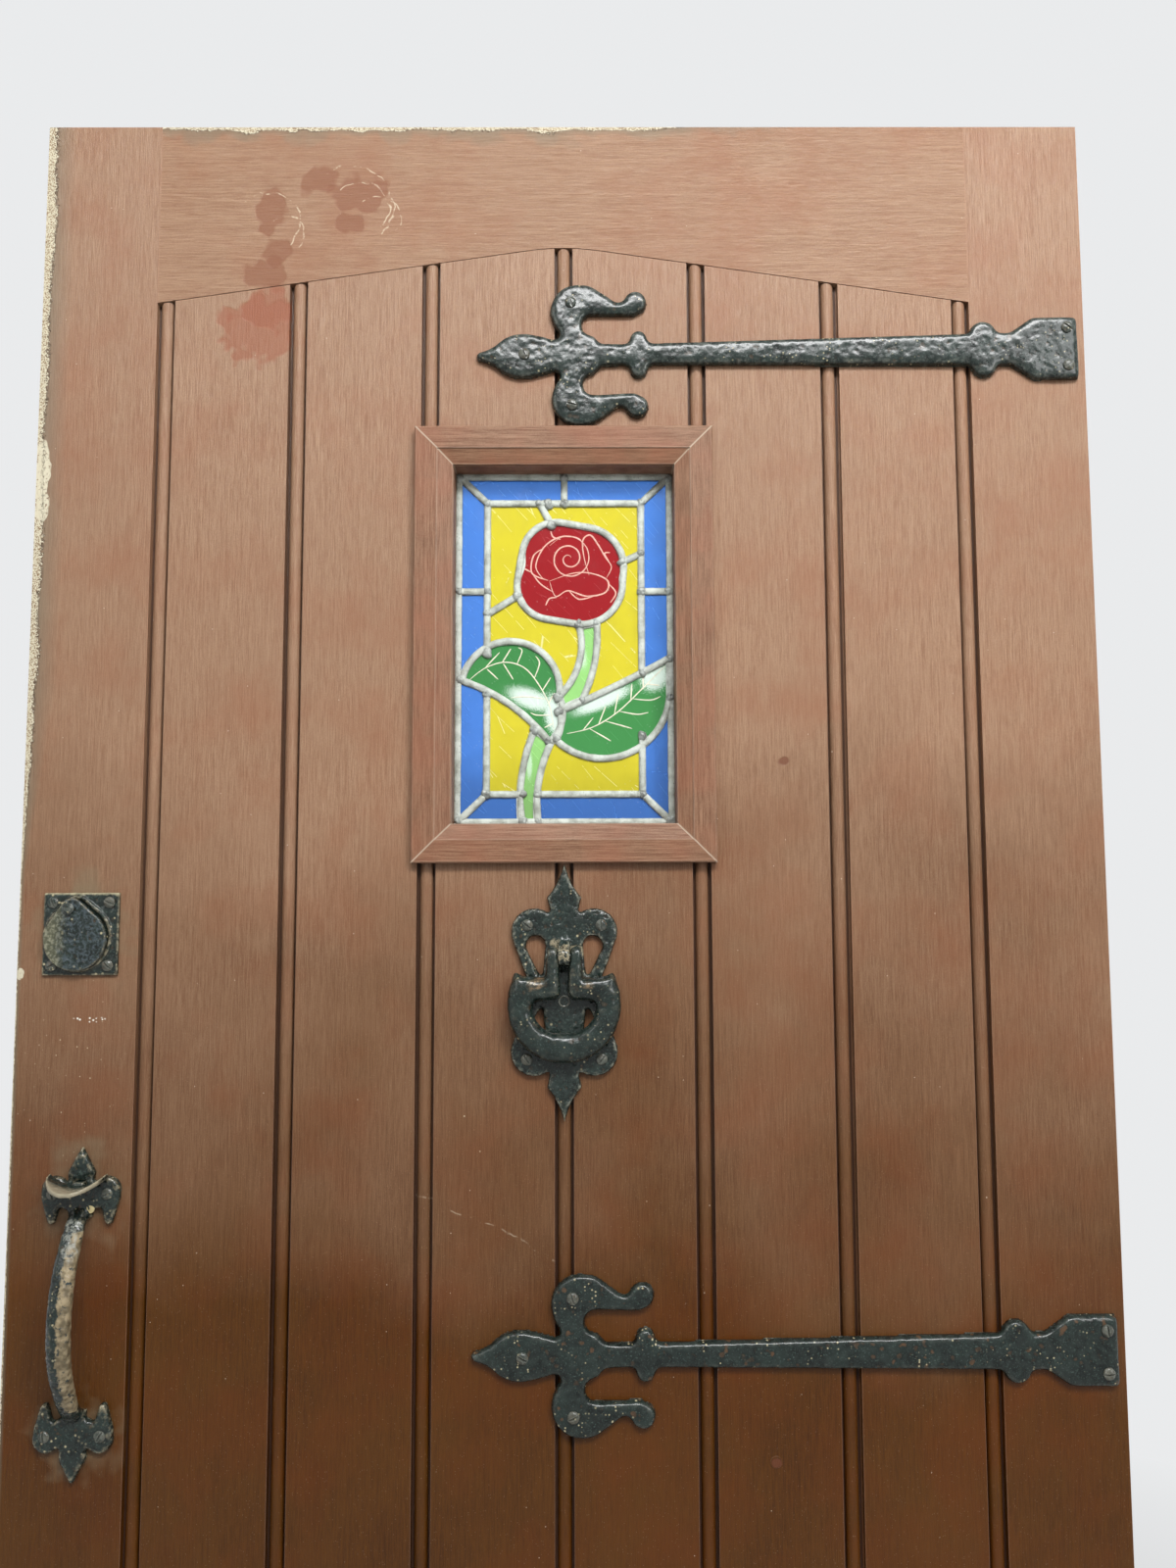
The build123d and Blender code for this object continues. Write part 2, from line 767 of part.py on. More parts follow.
def knocker_plate():
    """The pierced back plate and the lug that carries the ring."""
    half = knocker_plate_half()
    outline = softened(half + mirror(half, about=Plane.XZ), 1.5)
    outline = resized(outline, knocker_reach, 97.4)
    plate = cast_plate(outline, knocker_plate_thickness, plate_draft)
    plate = FRONT.location * Pos(0, knocker_waist) * plate
    lug_radius = ear_radius - lug_gap
    side = Plane((-lug_width / 2, front_y, knocker_height), x_dir=(0, -1, 0), z_dir=(1, 0, 0))
    profile = Pos(knocker_pin_out, 0) * Circle(lug_radius)
    foot = knocker_plate_thickness - 0.5
    profile += polygon((foot, -13), (knocker_pin_out, -lug_radius), (knocker_pin_out, lug_radius), (foot, 13))
    if side.y_dir.Z < 0:
        profile = mirror(profile, about=Plane.XZ)
    lug = extrude(side * profile, lug_width)
    return plate + lug - knocker_pin_bore()


def knocker_axis_y():
    """Depth of the knocker's pivot."""
    return front_y - knocker_pin_out


def knocker_pin_bore():
    """The bore for the pin through lug and ears."""
    reach = lug_width / 2 + ear_width + 2
    y = knocker_axis_y()
    start = (-reach, y, knocker_height)
    return rod(start, (reach, y, knocker_height), knocker_pin_radius + running_gap)


def knocker_pin():
    """The pin that the ring swings on."""
    reach = lug_width / 2 + lug_gap + ear_width + 0.6
    y = knocker_axis_y()
    return rod((-reach, y, knocker_height), (reach, y, knocker_height), knocker_pin_radius)


def ring_outline():
    """The ring from the front, drawn 43 in radius, with horned shoulders and a cusp."""
    outer = Pos(0, -37) * Circle(43)
    outer -= polygon((-60, 20), (-60, -11), (-34, -15), (0, -17), (34, -15), (60, -11), (60, 20))
    for side in (-1, 1):
        outer += tapered((side * 36, -22), 5, (side * 37.5, -13), 2)
    inner = Pos(0, -34) * Circle(28.5)
    inner -= polygon((-60, 20), (-60, -31.5), (60, -31.5), (60, 20))
    cusp = Pos(0, -65) * Circle(6)
    return resized(softened(outer - inner + cusp, 3), ring_radius, 43)


def knocker_ring():
    """The swinging ring: two arms that end in the ears, open between them."""
    start = knocker_plate_thickness + ring_seat_gap
    half_gap = lug_width / 2 + lug_gap
    ring = cast_plate(ring_outline(), ring_thickness, ring_draft)
    ring = FRONT.location * Pos(0, knocker_height, start) * ring
    depth = (front_y - start - ring_thickness - 1, front_y - start + 1)
    ring -= block((-half_gap, half_gap), depth, (knocker_height - 0.8 * ring_radius, knocker_height))
    ears = []
    for side in (-1, 1):
        near = side * half_gap
        x_range = sorted((near, near + side * ear_width))
        ears.append(ring_ear(x_range))
    ring = ring + ears[0] + ears[1]
    return ring - knocker_pin_bore()


def ring_ear(x_range):
    """One ear, rounded about the pivot and running down into the top bar."""
    y = knocker_axis_y()
    ear = rod((x_range[0], y, knocker_height), (x_range[1], y, knocker_height), ear_radius)
    foot = knocker_height - ring_radius / 2
    return ear + block(x_range, (y - ear_radius, y + ear_radius), (foot, knocker_height))


# The lock cylinder and its cover

def pear(circle_x, circle_z, radius, tab_x, tab_z, tab_radius):
    """A round disc with a narrower tab above it."""
    return tapered((circle_x, circle_z), radius, (tab_x, tab_z), tab_radius)


def escutcheon_plate():
    """The square plate with a raised lip round the key hole cover."""
    plate = on_front(Rectangle(escutcheon_width, escutcheon_height), lock_x, lock_height, 0, escutcheon_thickness)
    lip = pear(-2, -2.5, cover_radius + 2.5, rivet_dx + 4.5, rivet_dz - 1, 11)
    lip = (lip - offset(lip, -2.5)) & Rectangle(escutcheon_width, escutcheon_height)
    for side in (-1, 1):
        for end in (-1, 1):
            x = side * (escutcheon_width / 2 - 7.5)
            lip -= Pos(x, end * (escutcheon_height / 2 - 7.5)) * Circle(5)
    top = escutcheon_thickness + lip_height
    plate += on_front(lip, lock_x, lock_height, escutcheon_thickness - 0.5, top)
    rim = cylinder_rim_radius + cylinder_clearance
    plate -= on_front(Circle(rim), lock_x, lock_height, -1, escutcheon_thickness + 1)
    bore = on_front(Circle(rivet_radius), lock_x + rivet_dx, lock_height + rivet_dz, -1, top + 1)
    return plate - bore


def cover_height():
    """Height of the back of the swinging cover above the outer face."""
    return escutcheon_thickness + lip_height + cover_gap - 0.7


def escutcheon_cover():
    """The pear-shaped cover that swings on its rivet."""
    start = cover_height()
    outline = pear(-2.6, -4.2, cover_radius, rivet_dx + 1.8, rivet_dz - 1, 9)
    cover = cast_plate(outline, cover_thickness, plate_draft)
    cover = FRONT.location * Pos(lock_x, lock_height, start) * cover
    bore = Circle(rivet_radius + running_gap)
    return cover - on_front(bore, lock_x + rivet_dx, lock_height + rivet_dz, 0, start + 5)


def cover_rivet():
    """The domed rivet through the tab of the cover."""
    top = cover_height() + cover_thickness + 0.1
    place = FRONT.location * Pos(lock_x + rivet_dx, lock_height + rivet_dz)
    shank = Pos(0, 0, top / 2) * Cylinder(rivet_radius, top)
    head = Pos(0, 0, top + 0.75) * Cylinder(4.2, 1.5) + Pos(0, 0, top + 2) * Cone(4.2, 2.6, 1)
    return place * (shank + head)


def lock_cylinder():
    """The rim cylinder with its key slot and its flat tail towards the latch."""
    rim = Circle(cylinder_rim_radius)
    body = on_front(rim, lock_x, lock_height, 0, escutcheon_thickness)
    body += on_front(Circle(cylinder_body_radius), lock_x, lock_height, -cylinder_body_length, 0)
    tail_end = -leaf_thickness - 8
    body += on_front(Rectangle(7, 2), lock_x, lock_height, tail_end, -cylinder_body_length)
    plug_groove = Circle(7) - Circle(6.4)
    body -= on_front(plug_groove, lock_x, lock_height, escutcheon_thickness - 0.6, escutcheon_thickness)
    slot = Rectangle(2.2, 9)
    return body - on_front(slot, lock_x, lock_height, escutcheon_thickness - 20, escutcheon_thickness)


# The night latch on the inner face

def nightlatch_case():
    """The latch case with the channel for its bolt."""
    half_z = case_height / 2
    z_range = (lock_height - half_z, lock_height + half_z)
    case = block((-half_width, -half_width + case_width), (back_y, back_y + case_depth), z_range)
    rims = case.edges().filter_by(Axis.Z).sort_by(Axis.Y)[-2:]
    rims += case.edges().filter_by(Axis.X).sort_by(Axis.Y)[-2:]
    case = chamfer(rims, 3)
    case -= bolt_block(slide_gap, latch_bolt_travel + 1)
    knob_bore = Circle(spindle_radius + running_gap)
    case -= on_back(knob_bore, lock_x, lock_height, case_depth - 4.3, case_depth + 1)
    tail = case_depth - 18
    return case - on_back(Circle(8), lock_x, lock_height, -1, tail + 1)


def bolt_block(gap, extra):
    """The space of the latch bolt, larger by a gap and deeper by an extra length."""
    x_low = -half_width - latch_bolt_reach
    x_high = x_low + latch_bolt_length + extra
    y = back_y + 10 + latch_bolt_depth / 2
    y_range = (y - latch_bolt_depth / 2 - gap, y + latch_bolt_depth / 2 + gap)
    reach = latch_bolt_width / 2 + gap
    return block((x_low - gap, x_high), (y_range[0] - 3.5, y_range[1] - 3.5), (lock_height - reach, lock_height + reach))


def latch_bolt():
    """The sprung bolt with its slanted nose."""
    bolt = bolt_block(0, 0)
    box = bolt.bounding_box()
    nose = polygon(
        (box.min.X - 1, box.min.Y + 3), (box.min.X - 1, box.max.Y + 1),
        (box.min.X + latch_bolt_reach, box.max.Y + 1), (box.min.X + latch_bolt_reach - 1, box.max.Y - 1),
    )
    cutter = extrude(Pos(0, 0, lock_height - case_height / 2) * nose, case_height)
    return bolt - cutter


def nightlatch_knob():
    """The turn knob with its spindle in the case."""
    start = case_depth + 0.4
    grip = Circle(knob_radius)
    knob = on_back(grip, lock_x, lock_height, start + 8, start + knob_reach)
    rims = knob.faces().sort_by(Axis.Y)[-1].edges() + knob.faces().sort_by(Axis.Y)[0].edges()
    knob = chamfer(rims, 2.5)
    knob += on_back(Circle(9), lock_x, lock_height, start, start + 9)
    spindle_end = case_depth - 4
    return knob + on_back(Circle(spindle_radius), lock_x, lock_height, spindle_end, start + 1)


# The pull handle and the thumb latch

def trefoil():
    """The handle's end plate, drawn 34 to its tip: a spear with a curl on each side."""
    spear = polygon((0, 34), (-10.4, 15.5), (-9, 8), (-9, -18), (9, -18), (9, 8), (10.4, 15.5))
    lobe = Pos(19.5, 2.5) * Circle(10.2) + tapered((21.5, -2), 8, (21.5, -20), 3)
    lobe += tapered((19.5, 1), 8, (4, -6), 8)
    return resized(softened(spear + both_sides(lobe), 1.5), handle_plate_reach, 34)


def grip_section(angle, centre, radius, width, depth):
    """A forged eight-sided section across the bow of the grip at one angle."""
    y = centre[0] - radius * cos(radians(angle))
    z = centre[1] + radius * sin(radians(angle))
    plane = Plane((handle_x, y, z), x_dir=(1, 0, 0), z_dir=(0, sin(radians(angle)), cos(radians(angle))))
    across, flat_across = width / 2, width * grip_flat
    deep, flat_deep = depth / 2, depth * grip_flat
    quarter = [(across, flat_deep), (flat_across, deep)]
    upper = quarter + [(-x, y) for x, y in reversed(quarter)]
    return plane * polygon(*upper, *[(-x, -y) for x, y in upper])


def grip():
    """The bowed grip between the two end plates."""
    top = handle_top - 0.41 * handle_plate_reach
    bottom = handle_bottom + 0.41 * handle_plate_reach
    half = (top - bottom) / 2
    rise = grip_reach - 3
    radius = (half ** 2 + rise ** 2) / (2 * rise)
    centre = (front_y - grip_reach + radius, (top + bottom) / 2)
    limit = degrees(asin(half / radius))
    sections = []
    for share in (-1, -0.62, 0, 0.62, 1):
        narrow = 1 - grip_end_taper * share ** 2
        sections.append(grip_section(share * limit, centre, radius, grip_width * narrow, grip_depth * narrow))
    return loft(sections)


def pull_handle():
    """Both end plates and the grip, cast as one piece."""
    thickness = handle_plate_thickness
    top = FRONT.location * Pos(handle_x, handle_top) * cast_plate(trefoil(), thickness, plate_draft)
    lower = cast_plate(mirror(trefoil(), about=Plane.XZ), thickness, plate_draft)
    bottom = FRONT.location * Pos(handle_x, handle_bottom) * lower
    bow_piece = grip() - block((-half_width, 0), (front_y, back_y), (0, leaf_height))
    handle = top + bottom + bow_piece
    half = thumb_lever_width / 2 + 0.4
    slot = thumb_lever_height / 2 + 1
    slot_z = (thumb_axis_z - slot, thumb_axis_z + slot)
    handle -= block((handle_x - half, handle_x + half), (front_y - 9, front_y + 1), slot_z)
    return handle - thumb_pin_rod(running_gap)


def thumb_pin_rod(gap):
    """The thin pin across the slot of the top plate, larger by a gap."""
    start = (handle_x - 9, thumb_axis_y, thumb_axis_z)
    return rod(start, (handle_x + 9, thumb_axis_y, thumb_axis_z), thumb_pin_radius + gap)


def thumb_press():
    """The thumb piece: a curved pad in front, and a lever through the door."""
    half = thumb_lever_width / 2
    half_z = thumb_lever_height / 2
    tail_end = latch_bar_y + latch_bar_thickness + 3
    lever = block((handle_x - half, handle_x + half), (front_y - 10, tail_end), (thumb_axis_z - half_z, thumb_axis_z + half_z))
    start_y = front_y - handle_plate_thickness - 2.5
    bend = 0.77 * thumb_pad_width
    rim = Circle(bend) - Circle(bend - thumb_pad_thickness)
    plane = Plane((handle_x, start_y, thumb_axis_z + bend - half_z - 0.5), x_dir=(1, 0, 0), z_dir=(0, -1, 0))
    pad = extrude(plane * rim, thumb_pad_reach)
    plan = Pos(handle_x, start_y) * (Ellipse(thumb_pad_width / 2, thumb_pad_reach) & Pos(0, -30) * Rectangle(80, 60))
    pad &= extrude(Pos(0, 0, thumb_axis_z - 10) * plan, 28)
    return lever + pad - thumb_pin_rod(running_gap)


def latch_bar():
    """The bar on the inner face that the thumb lever lifts."""
    x_range = (-half_width - latch_bar_overhang, latch_bar_pivot_x + 14)
    y_range = (latch_bar_y, latch_bar_y + latch_bar_thickness)
    bar = block(x_range, y_range, (latch_bar_base, latch_bar_base + latch_bar_height))
    bar = fillet(bar.edges().filter_by(Axis.Y), 4)
    start = (latch_bar_pivot_x, latch_bar_y - 1, latch_bar_middle)
    end = (latch_bar_pivot_x, latch_bar_y + latch_bar_thickness + 1, latch_bar_middle)
    return bar - rod(start, end, bar_stud_radius + running_gap)


def latch_bar_pivot():
    """The pivot plate on the rail, with the headed stud of the latch bar."""
    x = latch_bar_pivot_x
    plate = on_back(Rectangle(26, 50), x, latch_bar_middle, 0, latch_bar_stand_off - slide_gap)
    outer = latch_bar_stand_off + latch_bar_thickness + slide_gap
    plate += on_back(Circle(bar_stud_radius), x, latch_bar_middle, 1, outer + 1)
    return plate + on_back(Circle(8), x, latch_bar_middle, outer, outer + 3)


def latch_bar_keeper():
    """The staple on the stile that the latch bar rises and falls in."""
    arm = latch_bar_pivot_x - keeper_x + keeper_width
    rise = arm * sin(radians(latch_bar_travel)) + 2
    low = latch_bar_base - latch_lift_gap + 0.2
    high = latch_bar_base + latch_bar_height + rise
    x_range = (keeper_x - keeper_width / 2, keeper_x + keeper_width / 2)
    inner = latch_bar_y + latch_bar_thickness + slide_gap
    outer = inner + keeper_thickness
    staple = block(x_range, (back_y, outer), (low - 14, high + 14))
    staple -= block(x_range, (inner, outer), (low - 14, low - 4))
    staple -= block(x_range, (inner, outer), (high + 4, high + 14))
    staple -= block(x_range, (back_y + keeper_thickness, outer), (low - 14, low - 4))
    staple -= block(x_range, (back_y + keeper_thickness, outer), (high + 4, high + 14))
    return staple - block(x_range, (back_y - 1, inner), (low, high))


# The butt hinges

def knuckles(height, first):
    """Every second knuckle of a hinge, starting with the first or the second."""
    pitch = hinge_length / knuckle_count
    barrel = []
    for index in range(first, knuckle_count, 2):
        low = height - hinge_length / 2 + index * pitch + knuckle_gap / 2
        start = (hinge_axis_x, hinge_axis_y, low)
        end = (hinge_axis_x, hinge_axis_y, low + pitch - knuckle_gap)
        barrel.append(rod(start, end, knuckle_radius))
    return barrel


def hinge_flap(height, x_range, first):
    """A flap with its knuckles, cut clear of the other flap's knuckles."""
    flap_y = (hinge_axis_y - flap_depth - hinge_stand_off, hinge_axis_y)
    half = hinge_length / 2
    flap = block(x_range, flap_y, (height - half, height + half))
    for barrel in knuckles(height, 1 - first):
        box = barrel.bounding_box()
        reach = knuckle_radius + knuckle_gap
        z_range = (box.min.Z - knuckle_gap, box.max.Z + knuckle_gap)
        flap -= block((hinge_axis_x - reach, hinge_axis_x + reach), (hinge_axis_y - reach, hinge_axis_y + reach), z_range)
    for barrel in knuckles(height, first):
        flap += barrel
    half += 1
    bore_start = (hinge_axis_x, hinge_axis_y, height - half)
    return flap - rod(bore_start, (hinge_axis_x, hinge_axis_y, height + half), hinge_pin_radius + running_gap)


def hinge_screw_places():
    """Places of the hinge screws: height above the hinge's middle and depth y."""
    outer_y = back_y - hinge_outer_hole_in
    inner_y = back_y - hinge_inner_hole_in
    places = [(hinge_outer_hole_z, outer_y), (-hinge_outer_hole_z, outer_y)]
    return places + [(hinge_inner_hole_z, inner_y), (-hinge_inner_hole_z, inner_y)]


def leaf_flap(height):
    """The flap let into the edge of the leaf."""
    return hinge_flap(height, (half_width - flap_thickness, half_width), 0)


def frame_flap(height):
    """The flap for the door frame, with its pin tight in its knuckles."""
    inner = jamb_face_x - flap_thickness
    flap = hinge_flap(height, (inner, jamb_face_x), 1)
    for dz, y in hinge_screw_places():
        flap -= rod((inner - 1, y, height + dz), (jamb_face_x + 1, y, height + dz), hinge_hole_radius)
    return flap


def hinge_pins():
    """The three hinge pins with their button heads."""
    pins = []
    for height in hinge_heights:
        half = hinge_length / 2
        start = (hinge_axis_x, hinge_axis_y, height - half)
        end = (hinge_axis_x, hinge_axis_y, height + half + 0.4)
        pin = rod(start, end, hinge_pin_radius)
        cap_end = (hinge_axis_x, hinge_axis_y, height + half + 3)
        pins.append(pin + rod(end, cap_end, knuckle_radius - 0.6))
    return Compound(children=pins)


# Building and writing every piece

def wooden_parts():
    """The frame members and the boards."""
    parts = {
        "hinge_stile": hinge_stile(),
        "lock_stile": lock_stile(),
        "top_rail": top_rail(),
        "middle_rail": middle_rail(),
        "bottom_rail": bottom_rail(),
        "window_upright_left": window_upright(-1),
        "window_upright_right": window_upright(1),
    }
    sill, head = trimmer_heights()
    parts["window_sill_trimmer"] = trimmer(*sill)
    parts["window_head_trimmer"] = trimmer(*head)
    for index in range(board_count):
        pieces = pieces_by_height(board(index))
        name = f"board_{index + 1}"
        if len(pieces) == 1:
            parts[name] = pieces[0]
        else:
            parts[name + "_lower"] = pieces[0]
            parts[name + "_upper"] = pieces[-1]
    return parts


def window_parts():
    """The lining, mouldings, beads and leaded light."""
    parts = {f"window_lining_{name}": piece for name, piece in lining().items()}
    for side in ("top", "bottom", "left", "right"):
        parts[f"moulding_{side}"] = moulding(side)
    parts["glazing_beads"] = glazing_beads()
    parts["lead_cames"] = lead_cames()
    for name, outline in glass_panes().items():
        parts[name] = glass(outline)
    return parts


def iron_parts():
    """Everything of metal on the leaf and its hinges."""
    parts = {
        "strap_top": strap(top_strap_height, top_strap_tilt),
        "strap_lower": strap(lower_strap_height, lower_strap_tilt),
        "knocker_plate": knocker_plate(),
        "knocker_ring": knocker_ring(),
        "knocker_pin": knocker_pin(),
        "escutcheon_plate": escutcheon_plate(),
        "escutcheon_cover": escutcheon_cover(),
        "cover_rivet": cover_rivet(),
        "lock_cylinder": lock_cylinder(),
        "nightlatch_case": nightlatch_case(),
        "latch_bolt": latch_bolt(),
        "nightlatch_knob": nightlatch_knob(),
        "pull_handle": pull_handle(),
        "thumb_press": thumb_press(),
        "thumb_pin": thumb_pin_rod(0),
        "latch_bar": latch_bar(),
        "latch_bar_pivot": latch_bar_pivot(),
        "latch_bar_keeper": latch_bar_keeper(),
        "hinge_leaf_flaps": Compound(children=[leaf_flap(z) for z in hinge_heights]),
        "hinge_frame_flaps": Compound(children=[frame_flap(z) for z in hinge_heights]),
        "hinge_pins": hinge_pins(),
    }
    return parts


os.makedirs("parts", exist_ok=True)
for node, shape in {**wooden_parts(), **window_parts(), **iron_parts()}.items():
    export_step(shape, f"parts/{node}.step")
    print(node, len(shape.solids()), round(shape.volume))
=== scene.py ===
# %% [markdown]
# A boarded front door with a leaded light and black ironwork.
# The solid model of the door comes in as a fixed frame. This lesson gives every
# part its finish and adds what is too fine for the solid model: screws, rounded
# lead, solder, painted lines on the glass and the lumpy skin of forged iron.
# All sizes are in metres, X along the width, Y through the door, Z up.

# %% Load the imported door
import bpy
import numpy as np
from math import atan2, cos, hypot, pi, radians, sin, sqrt
from mathutils import Matrix, Vector, noise


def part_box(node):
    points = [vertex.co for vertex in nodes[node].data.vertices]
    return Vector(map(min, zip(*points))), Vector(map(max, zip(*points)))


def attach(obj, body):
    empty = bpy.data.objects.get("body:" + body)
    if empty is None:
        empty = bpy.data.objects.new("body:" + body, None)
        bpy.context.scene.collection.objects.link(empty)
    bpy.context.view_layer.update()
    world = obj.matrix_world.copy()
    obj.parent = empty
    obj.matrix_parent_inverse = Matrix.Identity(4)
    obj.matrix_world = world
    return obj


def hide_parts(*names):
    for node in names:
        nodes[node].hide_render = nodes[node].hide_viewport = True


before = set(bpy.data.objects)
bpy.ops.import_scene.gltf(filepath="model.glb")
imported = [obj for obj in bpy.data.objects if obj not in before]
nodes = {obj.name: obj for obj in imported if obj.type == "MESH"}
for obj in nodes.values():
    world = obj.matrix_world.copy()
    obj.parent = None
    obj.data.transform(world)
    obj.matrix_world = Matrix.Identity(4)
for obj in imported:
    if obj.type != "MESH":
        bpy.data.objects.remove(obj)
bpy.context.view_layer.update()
FRONT = -0.022  # the leaf's outer face
HALF_LEAF = 0.419
LEAF_TOP = 2.057
OUTER_SIDE = -0.006  # what lies beyond this along Y belongs to the outer face
WINDOW_HEIGHT = 1.6297

# %% [markdown]
# The camera stands less than a metre from the door, at chest height, and is
# tipped up a little. A wide lens so near makes upright edges lean in
# towards the top. The camera could be guessed by eye, but the four corners of
# the leaf give its place, tilt and lens exactly, so those numbers are used here.

# %% Camera
camera_data = bpy.data.cameras.new("camera")
camera_data.lens = 27.05
camera_data.sensor_width = 36
camera_data.clip_start = 0.01
camera = bpy.data.objects.new("camera", camera_data)
camera.matrix_world = (
    Matrix.Translation((0.015, -0.9347, 1.4377))
    @ Matrix.Rotation(radians(-0.225), 4, "Z")
    @ Matrix.Rotation(radians(95.02), 4, "X")
    @ Matrix.Rotation(radians(-0.168), 4, "Z")
)
bpy.context.scene.collection.objects.link(camera)
bpy.context.scene.camera = camera
bpy.context.scene.view_settings.view_transform = "Standard"
print("camera at", [round(v, 3) for v in camera.location])

# %% [markdown]
# A node tree can be built by hand in the shader editor, socket by socket. In a
# script it reads better as arithmetic. A value here stands for the output of a
# node, and adding or multiplying two values makes the node that does so.

# %% Values in a node tree
class Value:
    """A number, colour or vector in a node tree, which takes part in plain arithmetic."""

    def __init__(self, tree, socket):
        self.tree, self.socket = tree, socket

    def __add__(self, other):
        return math("ADD", self, other)

    def __sub__(self, other):
        return math("SUBTRACT", self, other)

    def __rsub__(self, other):
        return math("SUBTRACT", other, self)

    def __mul__(self, other):
        return math("MULTIPLY", self, other)

    def __truediv__(self, other):
        return math("DIVIDE", self, other)

    def __rtruediv__(self, other):
        return math("DIVIDE", other, self)

    def __gt__(self, other):
        return math("GREATER_THAN", self, other)

    def __lt__(self, other):
        return math("LESS_THAN", self, other)

    def __abs__(self):
        return math("ABSOLUTE", self)


class Outputs:
    """The outputs of a node as values, picked by name or number."""

    def __init__(self, tree, node):
        self.tree, self.node = tree, node

    def __getitem__(self, key):
        return Value(self.tree, self.node.outputs[key])


def join(value, socket):
    """Put a number or colour on a socket, or a link into it."""
    if isinstance(value, Value):
        value.tree.links.new(value.socket, socket)
    elif isinstance(value, tuple) and len(value) == 3 and socket.type == "RGBA":
        socket.default_value = (*value, 1)
    else:
        socket.default_value = value


def make(tree, kind, inputs=None, **settings):
    """Make a node, set its options and fill its inputs; gives its outputs."""
    made = tree.nodes.new("ShaderNode" + kind)
    for name, value in settings.items():
        setattr(made, name, value)
    for name, value in (inputs or {}).items():
        join(value, made.inputs[name])
    return Outputs(tree, made)


def math(operation, first, second=0.0):
    """One arithmetic step, in the tree of whichever of the two is a value."""
    tree = (first if isinstance(first, Value) else second).tree
    return make(tree, "Math", {0: first, 1: second}, operation=operation)[0]

# %% [markdown]
# A few steps come up in every finish: blending, ramps, noise, and the distance
# from a point. Each is a short function here, so that a material reads as a
# list of masks and tones.

# %% Common shader steps
def blend(share, a, b):
    """Blend two colours by a mask."""
    return make(share.tree, "Mix", {0: share, 6: a, 7: b}, data_type="RGBA")[2]


def blend_value(share, a, b):
    """Blend two numbers by a mask."""
    return make(share.tree, "Mix", {0: share, 2: a, 3: b}, data_type="FLOAT")[0]


def layered(colour, *layers):
    """Lay tones over a colour, each through its mask."""
    for mask, tone in layers:
        colour = blend(mask, colour, tone)
    return colour


def scaled(tone, factor, lift=0.0):
    """A tone made darker or lighter, and held below full white."""
    return tuple(min(1.0, factor * c + lift) for c in tone)


def ramp(value, low, high, from_value=0.0, to_value=1.0):
    """Turn a range of values into another range, with its ends held."""
    inputs = dict(enumerate((value, low, high, from_value, to_value)))
    return make(value.tree, "MapRange", inputs, clamp=True)[0]


def xyz(vector):
    """The three coordinates of a vector."""
    return make(vector.tree, "SeparateXYZ", {0: vector})


def stretched(vector, scale):
    """Scale a coordinate by three numbers or values."""
    parts = xyz(vector)
    return make(vector.tree, "CombineXYZ", {i: parts[i] * scale[i] for i in range(3)})[0]


def noise_of(vector, scale, detail=2.0, rough=0.5):
    """A soft noise value over a coordinate."""
    inputs = {"Vector": vector, "Scale": scale, "Detail": detail, "Roughness": rough}
    return make(vector.tree, "TexNoise", inputs)[0]


def uneven(vector, scale, amount, detail=4.0, rough=0.7):
    """Noise round zero, which makes an outline ragged."""
    return (noise_of(vector, scale, detail, rough) - 0.5) * amount


def crumbled(vector, scale, low, high, detail=4.0, rough=0.7):
    """A mask of noise: zero below one limit, one above the other."""
    return ramp(noise_of(vector, scale, detail, rough), low, high)


def span_of(dx, dz):
    """The length of a step with these two sides."""
    return math("SQRT", dx * dx + dz * dz)

# %% [markdown]
# Two more helpers are for node groups. One makes a group over a coordinate, with
# named inputs and outputs, and the other places it with values of its own.

# %% Helpers for node groups
def new_group(name, inputs, outputs):
    """A node group over a coordinate, with named numbers in and out; gives its two inner ends."""
    tree = bpy.data.node_groups.new(name, "ShaderNodeTree")
    tree.interface.new_socket("Vector", in_out="INPUT", socket_type="NodeSocketVector")
    for title, value in inputs.items():
        tree.interface.new_socket(title, in_out="INPUT", socket_type="NodeSocketFloat").default_value = value
    for title in outputs:
        tree.interface.new_socket(title, in_out="OUTPUT", socket_type="NodeSocketFloat")
    start = Outputs(tree, tree.nodes.new("NodeGroupInput"))
    return tree, start, tree.nodes.new("NodeGroupOutput").inputs


def group(source, vector, **inputs):
    """Place a node group over a coordinate; Across_X stands for its input Across X."""
    made = vector.tree.nodes.new("ShaderNodeGroup")
    made.node_tree = source
    join(vector, made.inputs["Vector"])
    for name, value in inputs.items():
        join(value, made.inputs[name.replace("_", " ")])
    return Outputs(vector.tree, made)

# %% [markdown]
# A finish that several materials share is a node group: a box with named inputs
# and outputs. Brush marks are the first. The brush was drawn along each
# board, so the marks are noise squeezed across the grain and drawn out along it,
# with a little even grain where the half-dry paint dragged.
# An image of brushed paint would repeat; stretched noise never does.

# %% Group: brush marks
brush_marks, given, result = new_group(
    "Brush marks", {"Across X": 900.0, "Across Z": 12.0}, ["Streaks", "Height"])
across_x, across_z = given["Across X"], given["Across Z"]
fine = stretched(given["Vector"], (across_x, across_x, across_z))
half_x, half_z = across_x * 0.3, across_z * 0.3
broad = stretched(given["Vector"], (half_x, half_x, half_z))
grain = noise_of(given["Vector"], 1300.0, 3.0, 0.7)
streaks = noise_of(fine, 1.0, 3.0, 0.6) * 0.5 + noise_of(broad, 1.0, 2.0, 0.5) * 0.25 + grain * 0.25
join(streaks, result["Height"])
join(ramp(streaks, 0.41, 0.59), result["Streaks"])
print("group:", brush_marks.name, len(brush_marks.nodes), "nodes")

